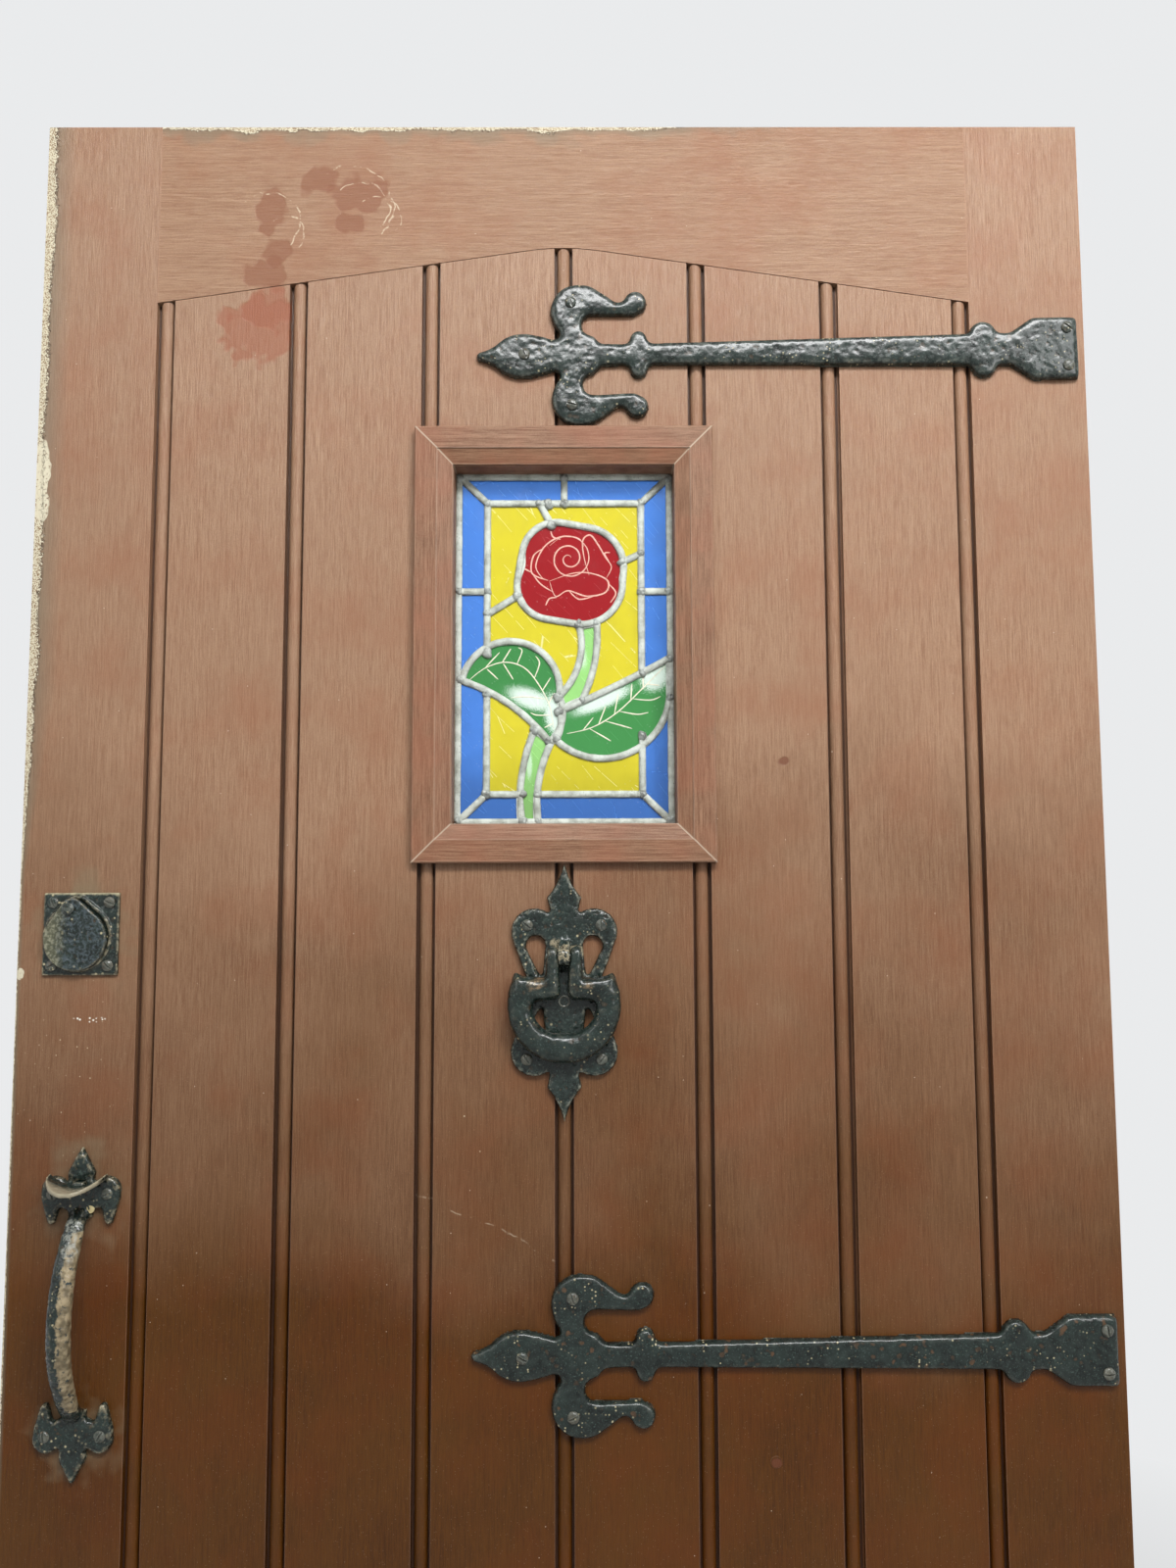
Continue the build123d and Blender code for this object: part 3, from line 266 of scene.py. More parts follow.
# %% [markdown]
# Dust, flyspecks and rust freckles are scattered dots. Cells of random size do
# this: near the middle of a cell the distance is small, and only some cells,
# picked by their own random colour, show a dot at all.

# %% Group: specks
specks, given, result = new_group("Specks", {"Scale": 300.0, "Size": 0.2, "Share": 0.15}, ["Mask"])
cells = make(specks, "TexVoronoi", {"Vector": given["Vector"], "Scale": given["Scale"]})
chance = make(specks, "SeparateColor", {0: cells["Color"]})
reach = given["Size"] * (chance[1] + 0.35)
dot = ramp(cells["Distance"], reach * 0.6, reach, 1.0, 0.0)
join(dot * (chance[0] < given["Share"]), result["Mask"])
print("group:", specks.name, len(specks.nodes), "nodes")

# %% [markdown]
# Large soft changes of shade keep a wide painted board from looking flat. The
# group gives a noise value with its contrast set by two limits.

# %% Group: blotches
blotches, given, result = new_group("Blotches", {"Scale": 8.0, "Low": 0.4, "High": 0.6}, ["Mask"])
join(ramp(noise_of(given["Vector"], given["Scale"], 4.0, 0.55), given["Low"], given["High"]), result["Mask"])
print("group:", blotches.name, len(blotches.nodes), "nodes")

# %% [markdown]
# Paint wears off corners first. A bevelled normal differs from the true normal
# only beside a sharp edge, so the difference of the two is a mask of the edges.
# Noise breaks it up, because wear is never an even line.

# %% Group: edge wear
edge_wear, given, result = new_group("Edge wear", {"Reach": 0.001, "Scale": 400.0, "Amount": 0.5}, ["Mask"])
rounded = make(edge_wear, "Bevel", {"Radius": given["Reach"]}, samples=4)[0]
true_normal = make(edge_wear, "NewGeometry")["Normal"]
likeness = make(edge_wear, "VectorMath", {0: rounded, 1: true_normal}, operation="DOT_PRODUCT")["Value"]
edge = ramp(likeness, 0.995, 0.86)
ragged = noise_of(given["Vector"], given["Scale"], 3.0, 0.6)
worn = (edge + ragged) * 0.5 - (1.0 - given["Amount"]) * 0.75
join(ramp(worn, 0.0, 0.06) * edge, result["Mask"])
print("group:", edge_wear.name, len(edge_wear.nodes), "nodes")

# %% [markdown]
# Some spots belong to one place: a touched-up patch, a filled nail hole. The
# group makes a soft oval round a point, and a little noise makes its rim uneven.
# It works on the outer face only, so no spot comes through on the inner face.

# %% Group: patch
patch, given, result = new_group(
    "Patch",
    {"Centre X": 0.0, "Centre Z": 0.0, "Half width": 0.01, "Half height": 0.01, "Ragged": 0.4, "Soft": 0.16},
    ["Mask"],
)
place = xyz(given["Vector"])
dx = (place[0] - given["Centre X"]) / given["Half width"]
dz = (place[2] - given["Centre Z"]) / given["Half height"]
wobble = uneven(given["Vector"], 70.0, given["Ragged"], 1.5, 0.4)
oval = ramp(span_of(dx, dz) + wobble * 2.0, 1.04 - given["Soft"], 1.04, 1.0, 0.0)
join(oval * (place[1] < OUTER_SIDE), result["Mask"])
print("group:", patch.name, len(patch.nodes), "nodes")

# %% [markdown]
# Forged and cast iron has a lumpy skin: shallow dents a few millimetres across
# with finer grain in them. Cell noise and two scales of soft noise give
# that height, and the low spots double as a mask where rust and dust collect.

# %% Group: hammered skin
hammered, given, result = new_group("Hammered skin", {"Size": 0.005}, ["Height", "Hollows"])
dents_per_metre = 1.0 / given["Size"]
warp = make(hammered, "TexNoise", {"Vector": given["Vector"], "Scale": dents_per_metre * 0.7})["Color"]
shift = make(hammered, "VectorMath", {0: warp, 1: (0.004, 0.004, 0.004)}, operation="MULTIPLY")[0]
moved = make(hammered, "VectorMath", {0: given["Vector"], 1: shift}, operation="ADD")[0]
cell_inputs = {"Vector": moved, "Scale": dents_per_metre, "Smoothness": 0.6}
dents = make(hammered, "TexVoronoi", cell_inputs, feature="SMOOTH_F1")["Distance"]
lumps = noise_of(given["Vector"], dents_per_metre * 1.1, 1.5, 0.45)
grain = noise_of(given["Vector"], dents_per_metre * 5.0, 2.0, 0.5)
height = dents * 0.55 + lumps * 0.8 + grain * 0.05
join(height, result["Height"])
join(ramp(height, 0.54, 0.44), result["Hollows"])
print("group:", hammered.name, len(hammered.nodes), "nodes")

# %% [markdown]
# Fine scratches are thin bright lines in many directions. Cells drawn out to
# long slivers have edges that look just like that, and noise breaks them up.

# %% Group: scratches
scratches, given, result = new_group("Scratches", {"Scale": 60.0, "Turn": 0.6, "Share": 0.5}, ["Mask"])
turn_inputs = {"Vector": given["Vector"], "Axis": (0, 1, 0), "Angle": given["Turn"]}
turned = make(scratches, "VectorRotate", turn_inputs, rotation_type="AXIS_ANGLE")[0]
slivers = stretched(turned, (1.0, 0.2, 0.12))
crack_inputs = {"Vector": slivers, "Scale": given["Scale"]}
cracks = make(scratches, "TexVoronoi", crack_inputs, feature="DISTANCE_TO_EDGE")
line = ramp(cracks["Distance"], 0.004, 0.014, 1.0, 0.0)
gate = noise_of(turned, given["Scale"] * 1.3, 2.0) > (1.0 - given["Share"])
join(line * gate, result["Mask"])
print("group:", scratches.name, len(scratches.nodes), "nodes")

# %% [markdown]
# Each material starts the same way: an empty tree, the principled shader, and
# the coordinates of the door itself, in metres. Those coordinates stay with the
# surface when a part moves, so no mark slides over it.

# %% Helpers for materials
def new_material(name, viewport_colour, constants):
    """A material with a principled shader; gives material, shader and coordinates."""
    material = bpy.data.materials.new(name)
    material.use_nodes = True
    material.diffuse_color = (*viewport_colour, 1)
    tree = material.node_tree
    tree.nodes.clear()
    shader = make(tree, "BsdfPrincipled", constants)
    make(tree, "OutputMaterial", {0: shader[0]})
    return material, shader.node, make(tree, "TexCoord")["Object"]


def surface(shader, colour, rough, height, depth):
    """Give the shader a colour, a roughness and a bump, whose depth is in metres."""
    join(colour, shader.inputs["Base Color"])
    join(rough, shader.inputs["Roughness"])
    bump = make(height.tree, "Bump", {"Height": height, "Distance": depth, "Strength": 1.0})
    join(bump[0], shader.inputs["Normal"])


def finish(material, *names):
    """Give solid parts their material."""
    for name in names:
        slots = nodes[name].data.materials
        slots.clear()
        slots.append(material)


def cloudy(vector, scale, low=0.4, high=0.6):
    """The mask of the blotches group."""
    return group(blotches, vector, Scale=scale, Low=low, High=high)[0]


def dotted(vector, scale, size, share):
    """The mask of the specks group."""
    return group(specks, vector, Scale=scale, Size=size, Share=share)[0]


def worn_edges(vector, reach, scale, amount):
    """The mask of the edge wear group."""
    return group(edge_wear, vector, Reach=reach, Scale=scale, Amount=amount)[0]


def scratched_lines(vector, scale, turn, share):
    """The mask of the scratches group."""
    return group(scratches, vector, Scale=scale, Turn=turn, Share=share)[0]


def spot(vector, x, z, half_width, half_height, ragged=0.4, soft=0.16):
    """The mask of the patch group round one point."""
    return group(patch, vector, Centre_X=x, Centre_Z=z, Half_width=half_width, Half_height=half_height,
                 Ragged=ragged, Soft=soft)[0]


def brushed(vector, upright, along, bristles=2400.0):
    """The brush marks group, drawn up the door or along its width."""
    across = (bristles, along) if upright else (along, bristles)
    return group(brush_marks, vector, Across_X=across[0], Across_Z=across[1])

# %% [markdown]
# The lock edge has the worst damage: a ragged band where the paint has chipped
# down to a speckled cream undercoat. The band is a distance from the edge, cut
# by noise: the nearer the edge, the more of the noise counts as chipped.

# %% Group: chipped band
chipped_band, given, result = new_group(
    "Chipped band", {"Distance": 0.0, "Reach": 0.008, "Scale": 450.0}, ["Chipped", "Rim"])
nearness = ramp(given["Distance"], 0.0, given["Reach"], 1.0, 0.0)
crumble = noise_of(given["Vector"], given["Scale"], 5.0, 0.7) * 0.9
amount = crumble + noise_of(given["Vector"], 24.0, 2.0) * 0.6 + nearness * 0.62
near = nearness > 0.02
join(ramp(amount, 1.02, 1.06) * near, result["Chipped"])
join(ramp(amount, 0.97, 1.02) * near, result["Rim"])
print("group:", chipped_band.name, len(chipped_band.nodes), "nodes")

# %% [markdown]
# The timber is brush painted a red brown. On the real door the paint is a
# half-gloss coat over older coats, with streaks along each board, dust in the
# corners and pale undercoat where it has chipped. One maker function builds the
# finish for each direction of the brush, so boards, rails and mouldings agree.

# %% Painted timber
PAINT = (0.09, 0.03, 0.002)
PAINT_DARK = (0.05, 0.015, 0.001)
PAINT_PALE_TOP = (0.34, 0.21, 0.13)
PAINT_PALE_TOP_DARK = (0.215, 0.108, 0.06)
PAINT_GLOSS = {"IOR": 1.5, "Specular IOR Level": 0.22}
UNDERCOAT = (0.6, 0.55, 0.41)
CRUMB_CREAM = (0.7, 0.6, 0.42)
BEAD_START, BEAD_PITCH, BEAD_GROOVE = 0.31985, 0.0533085, 0.0062


def paler_towards_top(vector):
    """How much paler the paint is: more towards the top of the door."""
    return ramp(xyz(vector)[2] + uneven(vector, 5.0, 0.5, 4.0, 0.5), 1.1, 1.56)


def groove_shade_and_grime(vector):
    """Painted shade, with some grime, in the narrow grooves each side of every bead."""
    along = math("PINGPONG", xyz(vector)[0] + BEAD_START, BEAD_PITCH)
    return ramp(abs(along - BEAD_GROOVE), 0.0006, 0.0016, 1.0, 0.0)


def painted(name, upright, extra=None, shaded_grooves=False):
    """Brushed paint; extra adds marks that belong to one part."""
    material, shader, vector = new_material(name, PAINT, PAINT_GLOSS)
    marks = brushed(vector, upright, 75.0)
    # The paint is blended towards paler tones higher up the door.
    paler = paler_towards_top(vector)
    dark, light = blend(paler, PAINT_DARK, PAINT_PALE_TOP_DARK), blend(paler, PAINT, PAINT_PALE_TOP)
    colour = layered(
        blend(marks["Streaks"], dark, light),
        (cloudy(vector, 9.0, 0.35, 0.68) * 0.42, blend(paler, (0.11, 0.043, 0.006), (0.26, 0.15, 0.09))),
        (cloudy(vector, 17.0, 0.45, 0.7) * 0.42, blend(paler, (0.115, 0.026, 0.002), (0.25, 0.1, 0.05))),
        (worn_edges(vector, 0.0012, 500.0, 0.42) * 0.55, (0.34, 0.19, 0.12)),
        (dotted(vector, 800.0, 0.3, 0.12) * 0.35, (0.42, 0.3, 0.2)),
        (dotted(vector, 210.0, 0.12, 0.022) * 0.75, (0.72, 0.62, 0.5)),
    )
    # Painted shade with some grime darkens the narrow grooves beside each bead.
    if shaded_grooves:
        colour = blend(groove_shade_and_grime(vector) * 0.8, colour, (0.03, 0.012, 0.008))
    height, rough = marks["Height"], ramp(marks["Streaks"], 0.0, 1.0, 0.42, 0.28)
    if extra:
        colour, height, rough = extra(vector, colour, height, rough)
    surface(shader, colour, rough, height, 0.0007)
    return material


print("paint colour", PAINT)

# %% [markdown]
# Each damaged part has marks of its own: chips, patches where old paint came
# away, thin curved scratches, dust round the handle. They could be one painted
# image for the whole door, but as masks round named places they stay sharp at
# any size and can be moved by changing a number.

# %% Marks that belong to one part
def chips(vector, colour, height, rough, distance, reach):
    """Cream undercoat showing through a chipped band."""
    band = group(chipped_band, vector, Distance=distance, Reach=reach)
    cream = blend(crumbled(vector, 900.0, 0.42, 0.52, 3.0), (0.2, 0.12, 0.06), UNDERCOAT)
    halo = ramp(distance, 0.0, reach * 2.2, 0.8, 0.0)
    rim, chipped = band["Rim"], band["Chipped"]
    colour = layered(colour, (halo, (0.16, 0.145, 0.1)), (rim, (0.1, 0.045, 0.025)), (chipped, cream))
    return colour, height - rim * 0.8, blend_value(chipped, rough, 0.8)


def smooth_patches(vector, colour, height, rough, places, tone, share=0.75):
    """Smoother, redder patches where old paint came away."""
    for place in places:
        mask = spot(vector, *place, ragged=1.2, soft=0.22) * share
        colour, height, rough = blend(mask, colour, tone), height - mask * 0.4, blend_value(mask, rough, 0.4)
    return colour, height, rough


def curved_scratches(vector, colour, bows, share=0.7):
    """Thin pale scratches along arcs of circles, broken by noise."""
    parts = xyz(vector)
    broken = crumbled(vector, 110.0, 0.46, 0.58, 3.0)
    wander = uneven(vector, 60.0, 0.012, 2.0, 0.5)
    for x, z, radius in bows:
        dx, dz = parts[0] - x, parts[2] - z
        line = ramp(abs(span_of(dx, dz) - radius + wander), 0.0002, 0.0008, 1.0, 0.0) * broken
        side = ((dx + dz) > 0.0) * (parts[1] < OUTER_SIDE)
        colour = blend(line * side * share, colour, (0.6, 0.5, 0.36))
    return colour

# %% [markdown]
# The lock stile is handled most. Its edge has the chipped band, cream crumbs lie
# near the lock, and a dusty halo has built up where fingers go round the plates.

# %% Marks of the lock stile
def handled_dust(vector, colour):
    """A dusty halo on the paint round the lock plate and the handle's plates."""
    places = ((-0.370, 1.403, 0.038, 0.043), (-0.363, 1.212, 0.036, 0.042), (-0.363, 1.034, 0.034, 0.036),
              (-0.37, 1.442, 0.014, 0.014))
    for place in places:
        colour = blend(spot(vector, *place, ragged=0.9, soft=0.62) * 0.42, colour, (0.2, 0.15, 0.09))
    return colour


def lock_edge_marks(vector, colour, height, rough):
    """The chipped band down the lock edge, crumbs near the lock and a row of pale flecks."""
    parts = xyz(vector)
    reach = ramp(parts[2], 1.45, 1.6, 0.0016, 0.0105)
    colour, height, rough = chips(vector, colour, height, rough, parts[0] + HALF_LEAF, reach)
    crumbling = crumbled(vector, 420.0, 0.36, 0.46)
    for place in ((-0.4168, 1.3725, 0.003, 0.0065), (-0.4145, 1.764, 0.0052, 0.03)):
        colour = blend(spot(vector, *place, ragged=1.6) * crumbling, colour, UNDERCOAT)
    crumbs = dotted(vector, 380.0, 0.2, 0.08) * spot(vector, -0.375, 1.31, 0.04, 0.09, soft=0.7) * 0.8
    flecks = dotted(vector, 430.0, 0.42, 0.5) * spot(vector, -0.3625, 1.338, 0.016, 0.0032, soft=0.3)
    colour = layered(colour, (crumbs, CRUMB_CREAM), (flecks, (0.85, 0.82, 0.72)))
    return handled_dust(vector, colour), height, rough

# %% [markdown]
# The top rail is chipped along its upper edge and has lost old paint near the
# lock side. The boards have a patch, a long scratch and two filled holes.

# %% Marks of the rail and the boards
def top_rail_marks(vector, colour, height, rough):
    """Thin chips along the top and the redder patches near the lock side."""
    parts = xyz(vector)
    past_middle = math("MAXIMUM", parts[0] - 0.06, 0.0)
    distance = (LEAF_TOP - parts[2]) + past_middle * 0.08
    reach = ramp(noise_of(vector, 38.0, 2.0), 0.42, 0.7, 0.0034, 0.0095)
    colour, height, rough = chips(vector, colour, height, rough, distance, reach)
    places = [
        (-0.2362, 1.9858, 0.0115, 0.016), (-0.2323, 1.95, 0.013, 0.01), (-0.2414, 1.932, 0.02, 0.012),
        (-0.1977, 2.0125, 0.016, 0.013), (-0.1688, 1.9983, 0.026, 0.014), (-0.1733, 1.9757, 0.014, 0.009)]
    colour, height, rough = smooth_patches(vector, colour, height, rough, places, (0.2, 0.078, 0.04), 0.7)
    bows = [(-0.1655, 1.987, 0.024), (-0.172, 1.99, 0.034), (-0.15, 1.98, 0.017), (-0.225, 1.965, 0.016),
            (-0.24, 1.975, 0.026)]
    return curved_scratches(vector, colour, bows), height, rough


def first_board_marks(vector, colour, height, rough):
    """The patch at the head of the board beside the lock stile."""
    places = [(-0.246, 1.8885, 0.028, 0.03), (-0.24, 1.905, 0.02, 0.018)]
    return smooth_patches(vector, colour, height, rough, places, (0.24, 0.07, 0.032), 0.6)


def third_board_marks(vector, colour, height, rough):
    """A long thin scratch and a few pale crumbs on the board under the window."""
    crumbs = dotted(vector, 250.0, 0.2, 0.12) * spot(vector, -0.07, 1.255, 0.016, 0.03, soft=0.7) * 0.9
    colour = blend(crumbs, colour, CRUMB_CREAM)
    return curved_scratches(vector, colour, [(-0.32, 0.62, 0.623)], 0.35), height, rough


def filled_blemish(vector, colour, height, rough):
    """A small filled hole, painted over."""
    places = [(0.1715, 1.5367, 0.006, 0.005), (0.1565, 1.0133, 0.0048, 0.0048)]
    return smooth_patches(vector, colour, height, rough, places, (0.13, 0.042, 0.02))

# %% [markdown]
# Plain parts share one material for each direction of the brush, and each marked
# part gets its own. A part keeps its marks in place because they are set in the
# coordinates of the door.

# %% Finish of the timber
finish(painted("Brushed paint upright", True), "hinge_stile", "window_upright_left", "window_upright_right")
finish(painted("Brushed paint level", False), "middle_rail", "bottom_rail", "window_sill_trimmer",
       "window_head_trimmer")
finish(painted("Brushed paint boards", True, shaded_grooves=True), "board_2", "board_3_upper", "board_4_lower",
       "board_4_upper", "board_6")
finish(painted("Brushed paint lock stile", True, lock_edge_marks), "lock_stile")
finish(painted("Brushed paint top rail", False, top_rail_marks), "top_rail")
finish(painted("Brushed paint third board", True, third_board_marks, True), "board_3_lower")
finish(painted("Brushed paint first board", True, first_board_marks, True), "board_1")
paint_blemished = painted("Brushed paint filled board", True, filled_blemish, True)
finish(paint_blemished, "board_5")
print("painted timber parts:", sum(1 for o in nodes.values() if "paint" in o.data.materials[0].name.lower()))

# %% [markdown]
# The mouldings round the window are a greyer brown, brushed along their length,
# and the mitres at the corners show as thin pale lines. A mitre is the line
# where the distance in from the side equals the distance down from the top, so
# the mask can be worked out from the coordinates.

# %% Mouldings and linings
MOULDING_BROWN = (0.27, 0.15, 0.09)
MOULDING_DARK = (0.13, 0.058, 0.03)
MOULDING_HALF_WIDTH, MOULDING_HALF_HEIGHT = 0.11801, 0.173


def mitre_line(vector):
    """A thin line along the four mitres of the moulding."""
    parts = xyz(vector)
    from_side = abs(parts[0]) - MOULDING_HALF_WIDTH
    from_top = abs(parts[2] - WINDOW_HEIGHT) - MOULDING_HALF_HEIGHT
    return ramp(abs(from_side - from_top), 0.0004, 0.0011, 1.0, 0.0)


def moulded(name, upright):
    """The greyer brushed paint of the mouldings, with mitre lines."""
    material, shader, vector = new_material(name, MOULDING_BROWN, PAINT_GLOSS)
    marks = brushed(vector, upright, 60.0)
    colour = layered(
        blend(marks["Streaks"], MOULDING_DARK, MOULDING_BROWN),
        (cloudy(vector, 25.0, 0.4, 0.65) * 0.4, (0.27, 0.1, 0.055)),
        (worn_edges(vector, 0.0015, 300.0, 0.55) * 0.5, (0.45, 0.33, 0.24)),
        (mitre_line(vector) * 0.75, (0.5, 0.4, 0.3)),
    )
    surface(shader, colour, ramp(marks["Streaks"], 0.0, 1.0, 0.55, 0.4), marks["Height"], 0.0003)
    return material


moulding_upright = moulded("Brushed paint moulding upright", True)
moulding_level = moulded("Brushed paint moulding level", False)
finish(moulding_upright, "moulding_left", "moulding_right", "window_lining_left", "window_lining_right")
finish(moulding_level, "moulding_top", "moulding_bottom", "window_lining_head", "window_lining_sill",
       "glazing_beads")
print("moulding materials:", moulding_upright.name, moulding_level.name)

# %% [markdown]
# Old iron on a door is painted black, and weather takes the paint off its high
# spots and edges. The paint has a cold grey-green sheen, so it is a dielectric
# with a low roughness, over lumps. Rust is brown and rough and sits in hollows
# and along edges. Touched parts wear to a tan colour. The paler edges and high
# spots are partly this wear and partly a painted highlight, and the tops of the
# lumps get a painted highlight too.

# %% Black iron
CREAM = (0.44, 0.38, 0.25)


def high_spots(vector, low, high):
    """The proud edges of a dense mesh, broken up by noise."""
    proud = make(vector.tree, "NewGeometry")["Pointiness"]
    return ramp(proud, low, high) * crumbled(vector, 190.0, 0.45, 0.66, rough=0.75)


def black_iron(name, skin=0.006, depth=0.00045, rust=0.35, worn=None, tone=(0.003, 0.0062, 0.005),
               edge_wear_and_highlight_tone=(0.2, 0.21, 0.18), edge_wear_and_highlight_share=0.45, proud=(0.506, 0.535), lump_highlight=0.12):
    """
    Hammered black paint with rust. Worn adds a place that is rubbed bare, and a
    painted highlight pales the tops of the lumps.
    """
    material, shader, vector = new_material(name, tone, {"IOR": 1.5, "Specular IOR Level": 0.33})
    lumps = group(hammered, vector, Size=skin)
    shade = cloudy(vector, 60.0, 0.4, 0.62)
    spots = dotted(vector, 400.0, 0.36, 0.25) * ramp(noise_of(vector, 42.0, 2.0), 0.475, 0.58)
    bloom = noise_of(vector, 700.0, 4.0, 0.7)
    colour = layered(
        blend(shade, tone, (0.008, 0.016, 0.013)),
        # Painted highlight: the tops of the lumps are made paler.
        (ramp(lumps["Height"], 0.5, 0.95) * lump_highlight, (0.1, 0.125, 0.11)),
        (ramp(bloom, 0.56, 0.7), (0.055, 0.085, 0.072)),
        (lumps["Hollows"] * shade * rust, (0.11, 0.055, 0.025)),
        (spots * min(1.0, 2.4 * rust), (0.42, 0.37, 0.23)),
        # Partly worn paint, partly painted highlight: paler edges and proud high spots.
        (worn_edges(vector, 0.0016, 350.0, 0.6) * edge_wear_and_highlight_share, edge_wear_and_highlight_tone),
        (high_spots(vector, *proud) * edge_wear_and_highlight_share, edge_wear_and_highlight_tone),
    )
    rough = ramp(bloom, 0.35, 0.65, 0.12, 0.26)
    if worn:
        colour, rough = worn(vector, colour, rough)
    surface(shader, colour, rough, lumps["Height"], depth)
    return material


print("skin group:", hammered.name)

# %% [markdown]
# Hands have rubbed the iron in known places: the right half of the grip, the
# left part of the lock cover, the pad of the thumb piece, the saddle over the
# ring. The cream and tan coats under the black show there in ragged patches.

# %% Rubbed places
GRIP_MIDDLE = -0.3625


def rubbed_grip(vector, colour, rough):
    """The right half of the grip, rubbed to a tan undercoat."""
    parts = xyz(vector)
    side = ramp((parts[0] - GRIP_MIDDLE) + uneven(vector, 130.0, 0.011, 4.0, 0.65), -0.0006, 0.0006)
    outer = parts[1] < -0.036
    mask = side * (parts[2] < 1.186) * ((parts[2] > 1.058) * outer)
    tan = blend(cloudy(vector, 160.0), (0.12, 0.095, 0.055), (0.3, 0.24, 0.145))
    pale = spot(vector, -0.3635, 1.18, 0.007, 0.011, ragged=1.4) * crumbled(vector, 330.0, 0.42, 0.55, 3.0)
    flakes = crumbled(vector, 210.0, 0.58, 0.62) * outer
    colour = layered(colour, (mask, tan), (pale * 0.6, (0.32, 0.33, 0.29)), (flakes, (0.02, 0.03, 0.032)))
    return colour, blend_value(mask, rough, 0.45)


def worn_top_edge(vector, colour, rough):
    """The lock plate's upper edge, worn to a cream coat."""
    mask = ramp(xyz(vector)[2] + uneven(vector, 260.0, 0.006), 1.4325, 1.4345) * 0.8
    return blend(mask, colour, (0.42, 0.38, 0.24)), rough


def rubbed_cover(vector, colour, rough):
    """The cover's left part, yellowed where it is pushed aside, and its cloudy blue-grey middle."""
    mottled = crumbled(vector, 300.0, 0.47, 0.58)
    colour = blend(mottled * 0.75, colour, (0.065, 0.085, 0.095))
    mask = ramp(xyz(vector)[0] + uneven(vector, 240.0, 0.016), -0.3885, -0.3795, 1.0, 0.0) * 0.75
    return blend(mask, colour, blend(mottled, (0.1, 0.1, 0.06), (0.27, 0.26, 0.17))), rough


def rubbed_lug(vector, colour, rough):
    """The saddle above the ring, worn pale and tan."""
    mask = spot(vector, 0.001, 1.389, 0.013, 0.008, ragged=1.2) * crumbled(vector, 420.0, 0.44, 0.56) * 0.8
    return blend(mask, colour, (0.34, 0.29, 0.19)), rough


def rubbed_ring(vector, colour, rough):
    """Tan patches on the two arms of the ring beside its ears."""
    for x in (-0.022, 0.02):
        crumbs = ramp(noise_of(vector, 380.0, 4.0, 0.7), 0.44, 0.56, 0.15, 0.75)
        mask = spot(vector, x, 1.3645, 0.0075, 0.0042, ragged=1.8, soft=0.5) * crumbs
        colour = blend(mask, colour, (0.22, 0.15, 0.085))
    return colour, rough


def rubbed_thumb(vector, colour, rough):
    """The pad's front lip, rubbed pale."""
    mask = ramp(xyz(vector)[1] + uneven(vector, 200.0, 0.012), -0.047, -0.038, 1.0, 0.0) * 0.85
    return blend(mask, colour, (0.33, 0.29, 0.2)), rough

# %% [markdown]
# Cast pieces such as the knocker have small deep dents, and the straps wide
# shallow ones. Size and depth of the dents, rust, wear and the painted highlight
# on the edges are set for each.

# %% Kinds of ironwork
# The grey edge tones of the straps, the knocker and the ring are partly worn paint and partly painted
# highlight.
iron_strap = black_iron("Black iron strap", rust=0.3, edge_wear_and_highlight_share=0.55, proud=(0.503, 0.522))
iron_low_strap = black_iron("Black iron lower strap", rust=0.75)
iron_knocker = black_iron("Black iron knocker", 0.0042, 0.0013, worn=rubbed_lug, edge_wear_and_highlight_tone=(0.32, 0.32, 0.25),
                          edge_wear_and_highlight_share=0.75, proud=(0.505, 0.53), lump_highlight=0.15)
iron_ring = black_iron(
    "Black iron ring", 0.008, 0.001, 0.3, rubbed_ring, edge_wear_and_highlight_tone=(0.3, 0.28, 0.2), edge_wear_and_highlight_share=0.6)
iron_handle = black_iron(
    "Black iron handle", 0.005, 0.0013, worn=rubbed_grip, edge_wear_and_highlight_tone=CREAM, edge_wear_and_highlight_share=0.85)
iron_cover = black_iron("Black iron cover", 0.004, 0.001, worn=rubbed_cover, edge_wear_and_highlight_tone=CREAM, edge_wear_and_highlight_share=0.6)
iron_thumb = black_iron(
    "Black iron thumb piece", 0.007, 0.0014, worn=rubbed_thumb, edge_wear_and_highlight_tone=CREAM, edge_wear_and_highlight_share=0.8)
iron_lock_plate = black_iron(
    "Black iron lock plate", 0.0045, 0.0011, worn=worn_top_edge, edge_wear_and_highlight_tone=CREAM, edge_wear_and_highlight_share=0.7)
iron_plain = black_iron("Black iron plain", 0.005, 0.0012)
finish(iron_lock_plate, "escutcheon_plate")
finish(iron_plain, "cover_rivet", "thumb_pin", "knocker_pin", "nightlatch_case", "latch_bar",
       "latch_bar_pivot", "latch_bar_keeper")
print("iron materials:", sum(1 for m in bpy.data.materials if m.name.startswith("Black iron")))

# %% [markdown]
# The lock cylinder and night latch knob are brass gone dull, and the hinges and
# the spring bolt are dull plated steel. Both are true metals: metallic 1, with
# fine scratches and a cloudy roughness to show handling.

# %% Brass and steel
def dull_metal(name, tone, tarnish, rough_low, rough_high, metallic=1.0):
    """A worn bare metal with stains and fine scratches."""
    material, shader, vector = new_material(name, tone, {"Metallic": metallic})
    stains = cloudy(vector, 90.0, 0.42, 0.64)
    lines = scratched_lines(vector, 220.0, 0.5, 0.45)
    wear = worn_edges(vector, 0.0008, 500.0, 0.6)
    colour = layered(tone, (stains * 0.7, tarnish), (wear * 0.5, scaled(tone, 1.3)))
    surface(shader, colour, ramp(stains, 0.0, 1.0, rough_low, rough_high) - lines * 0.1, lines, -0.00005)
    return material


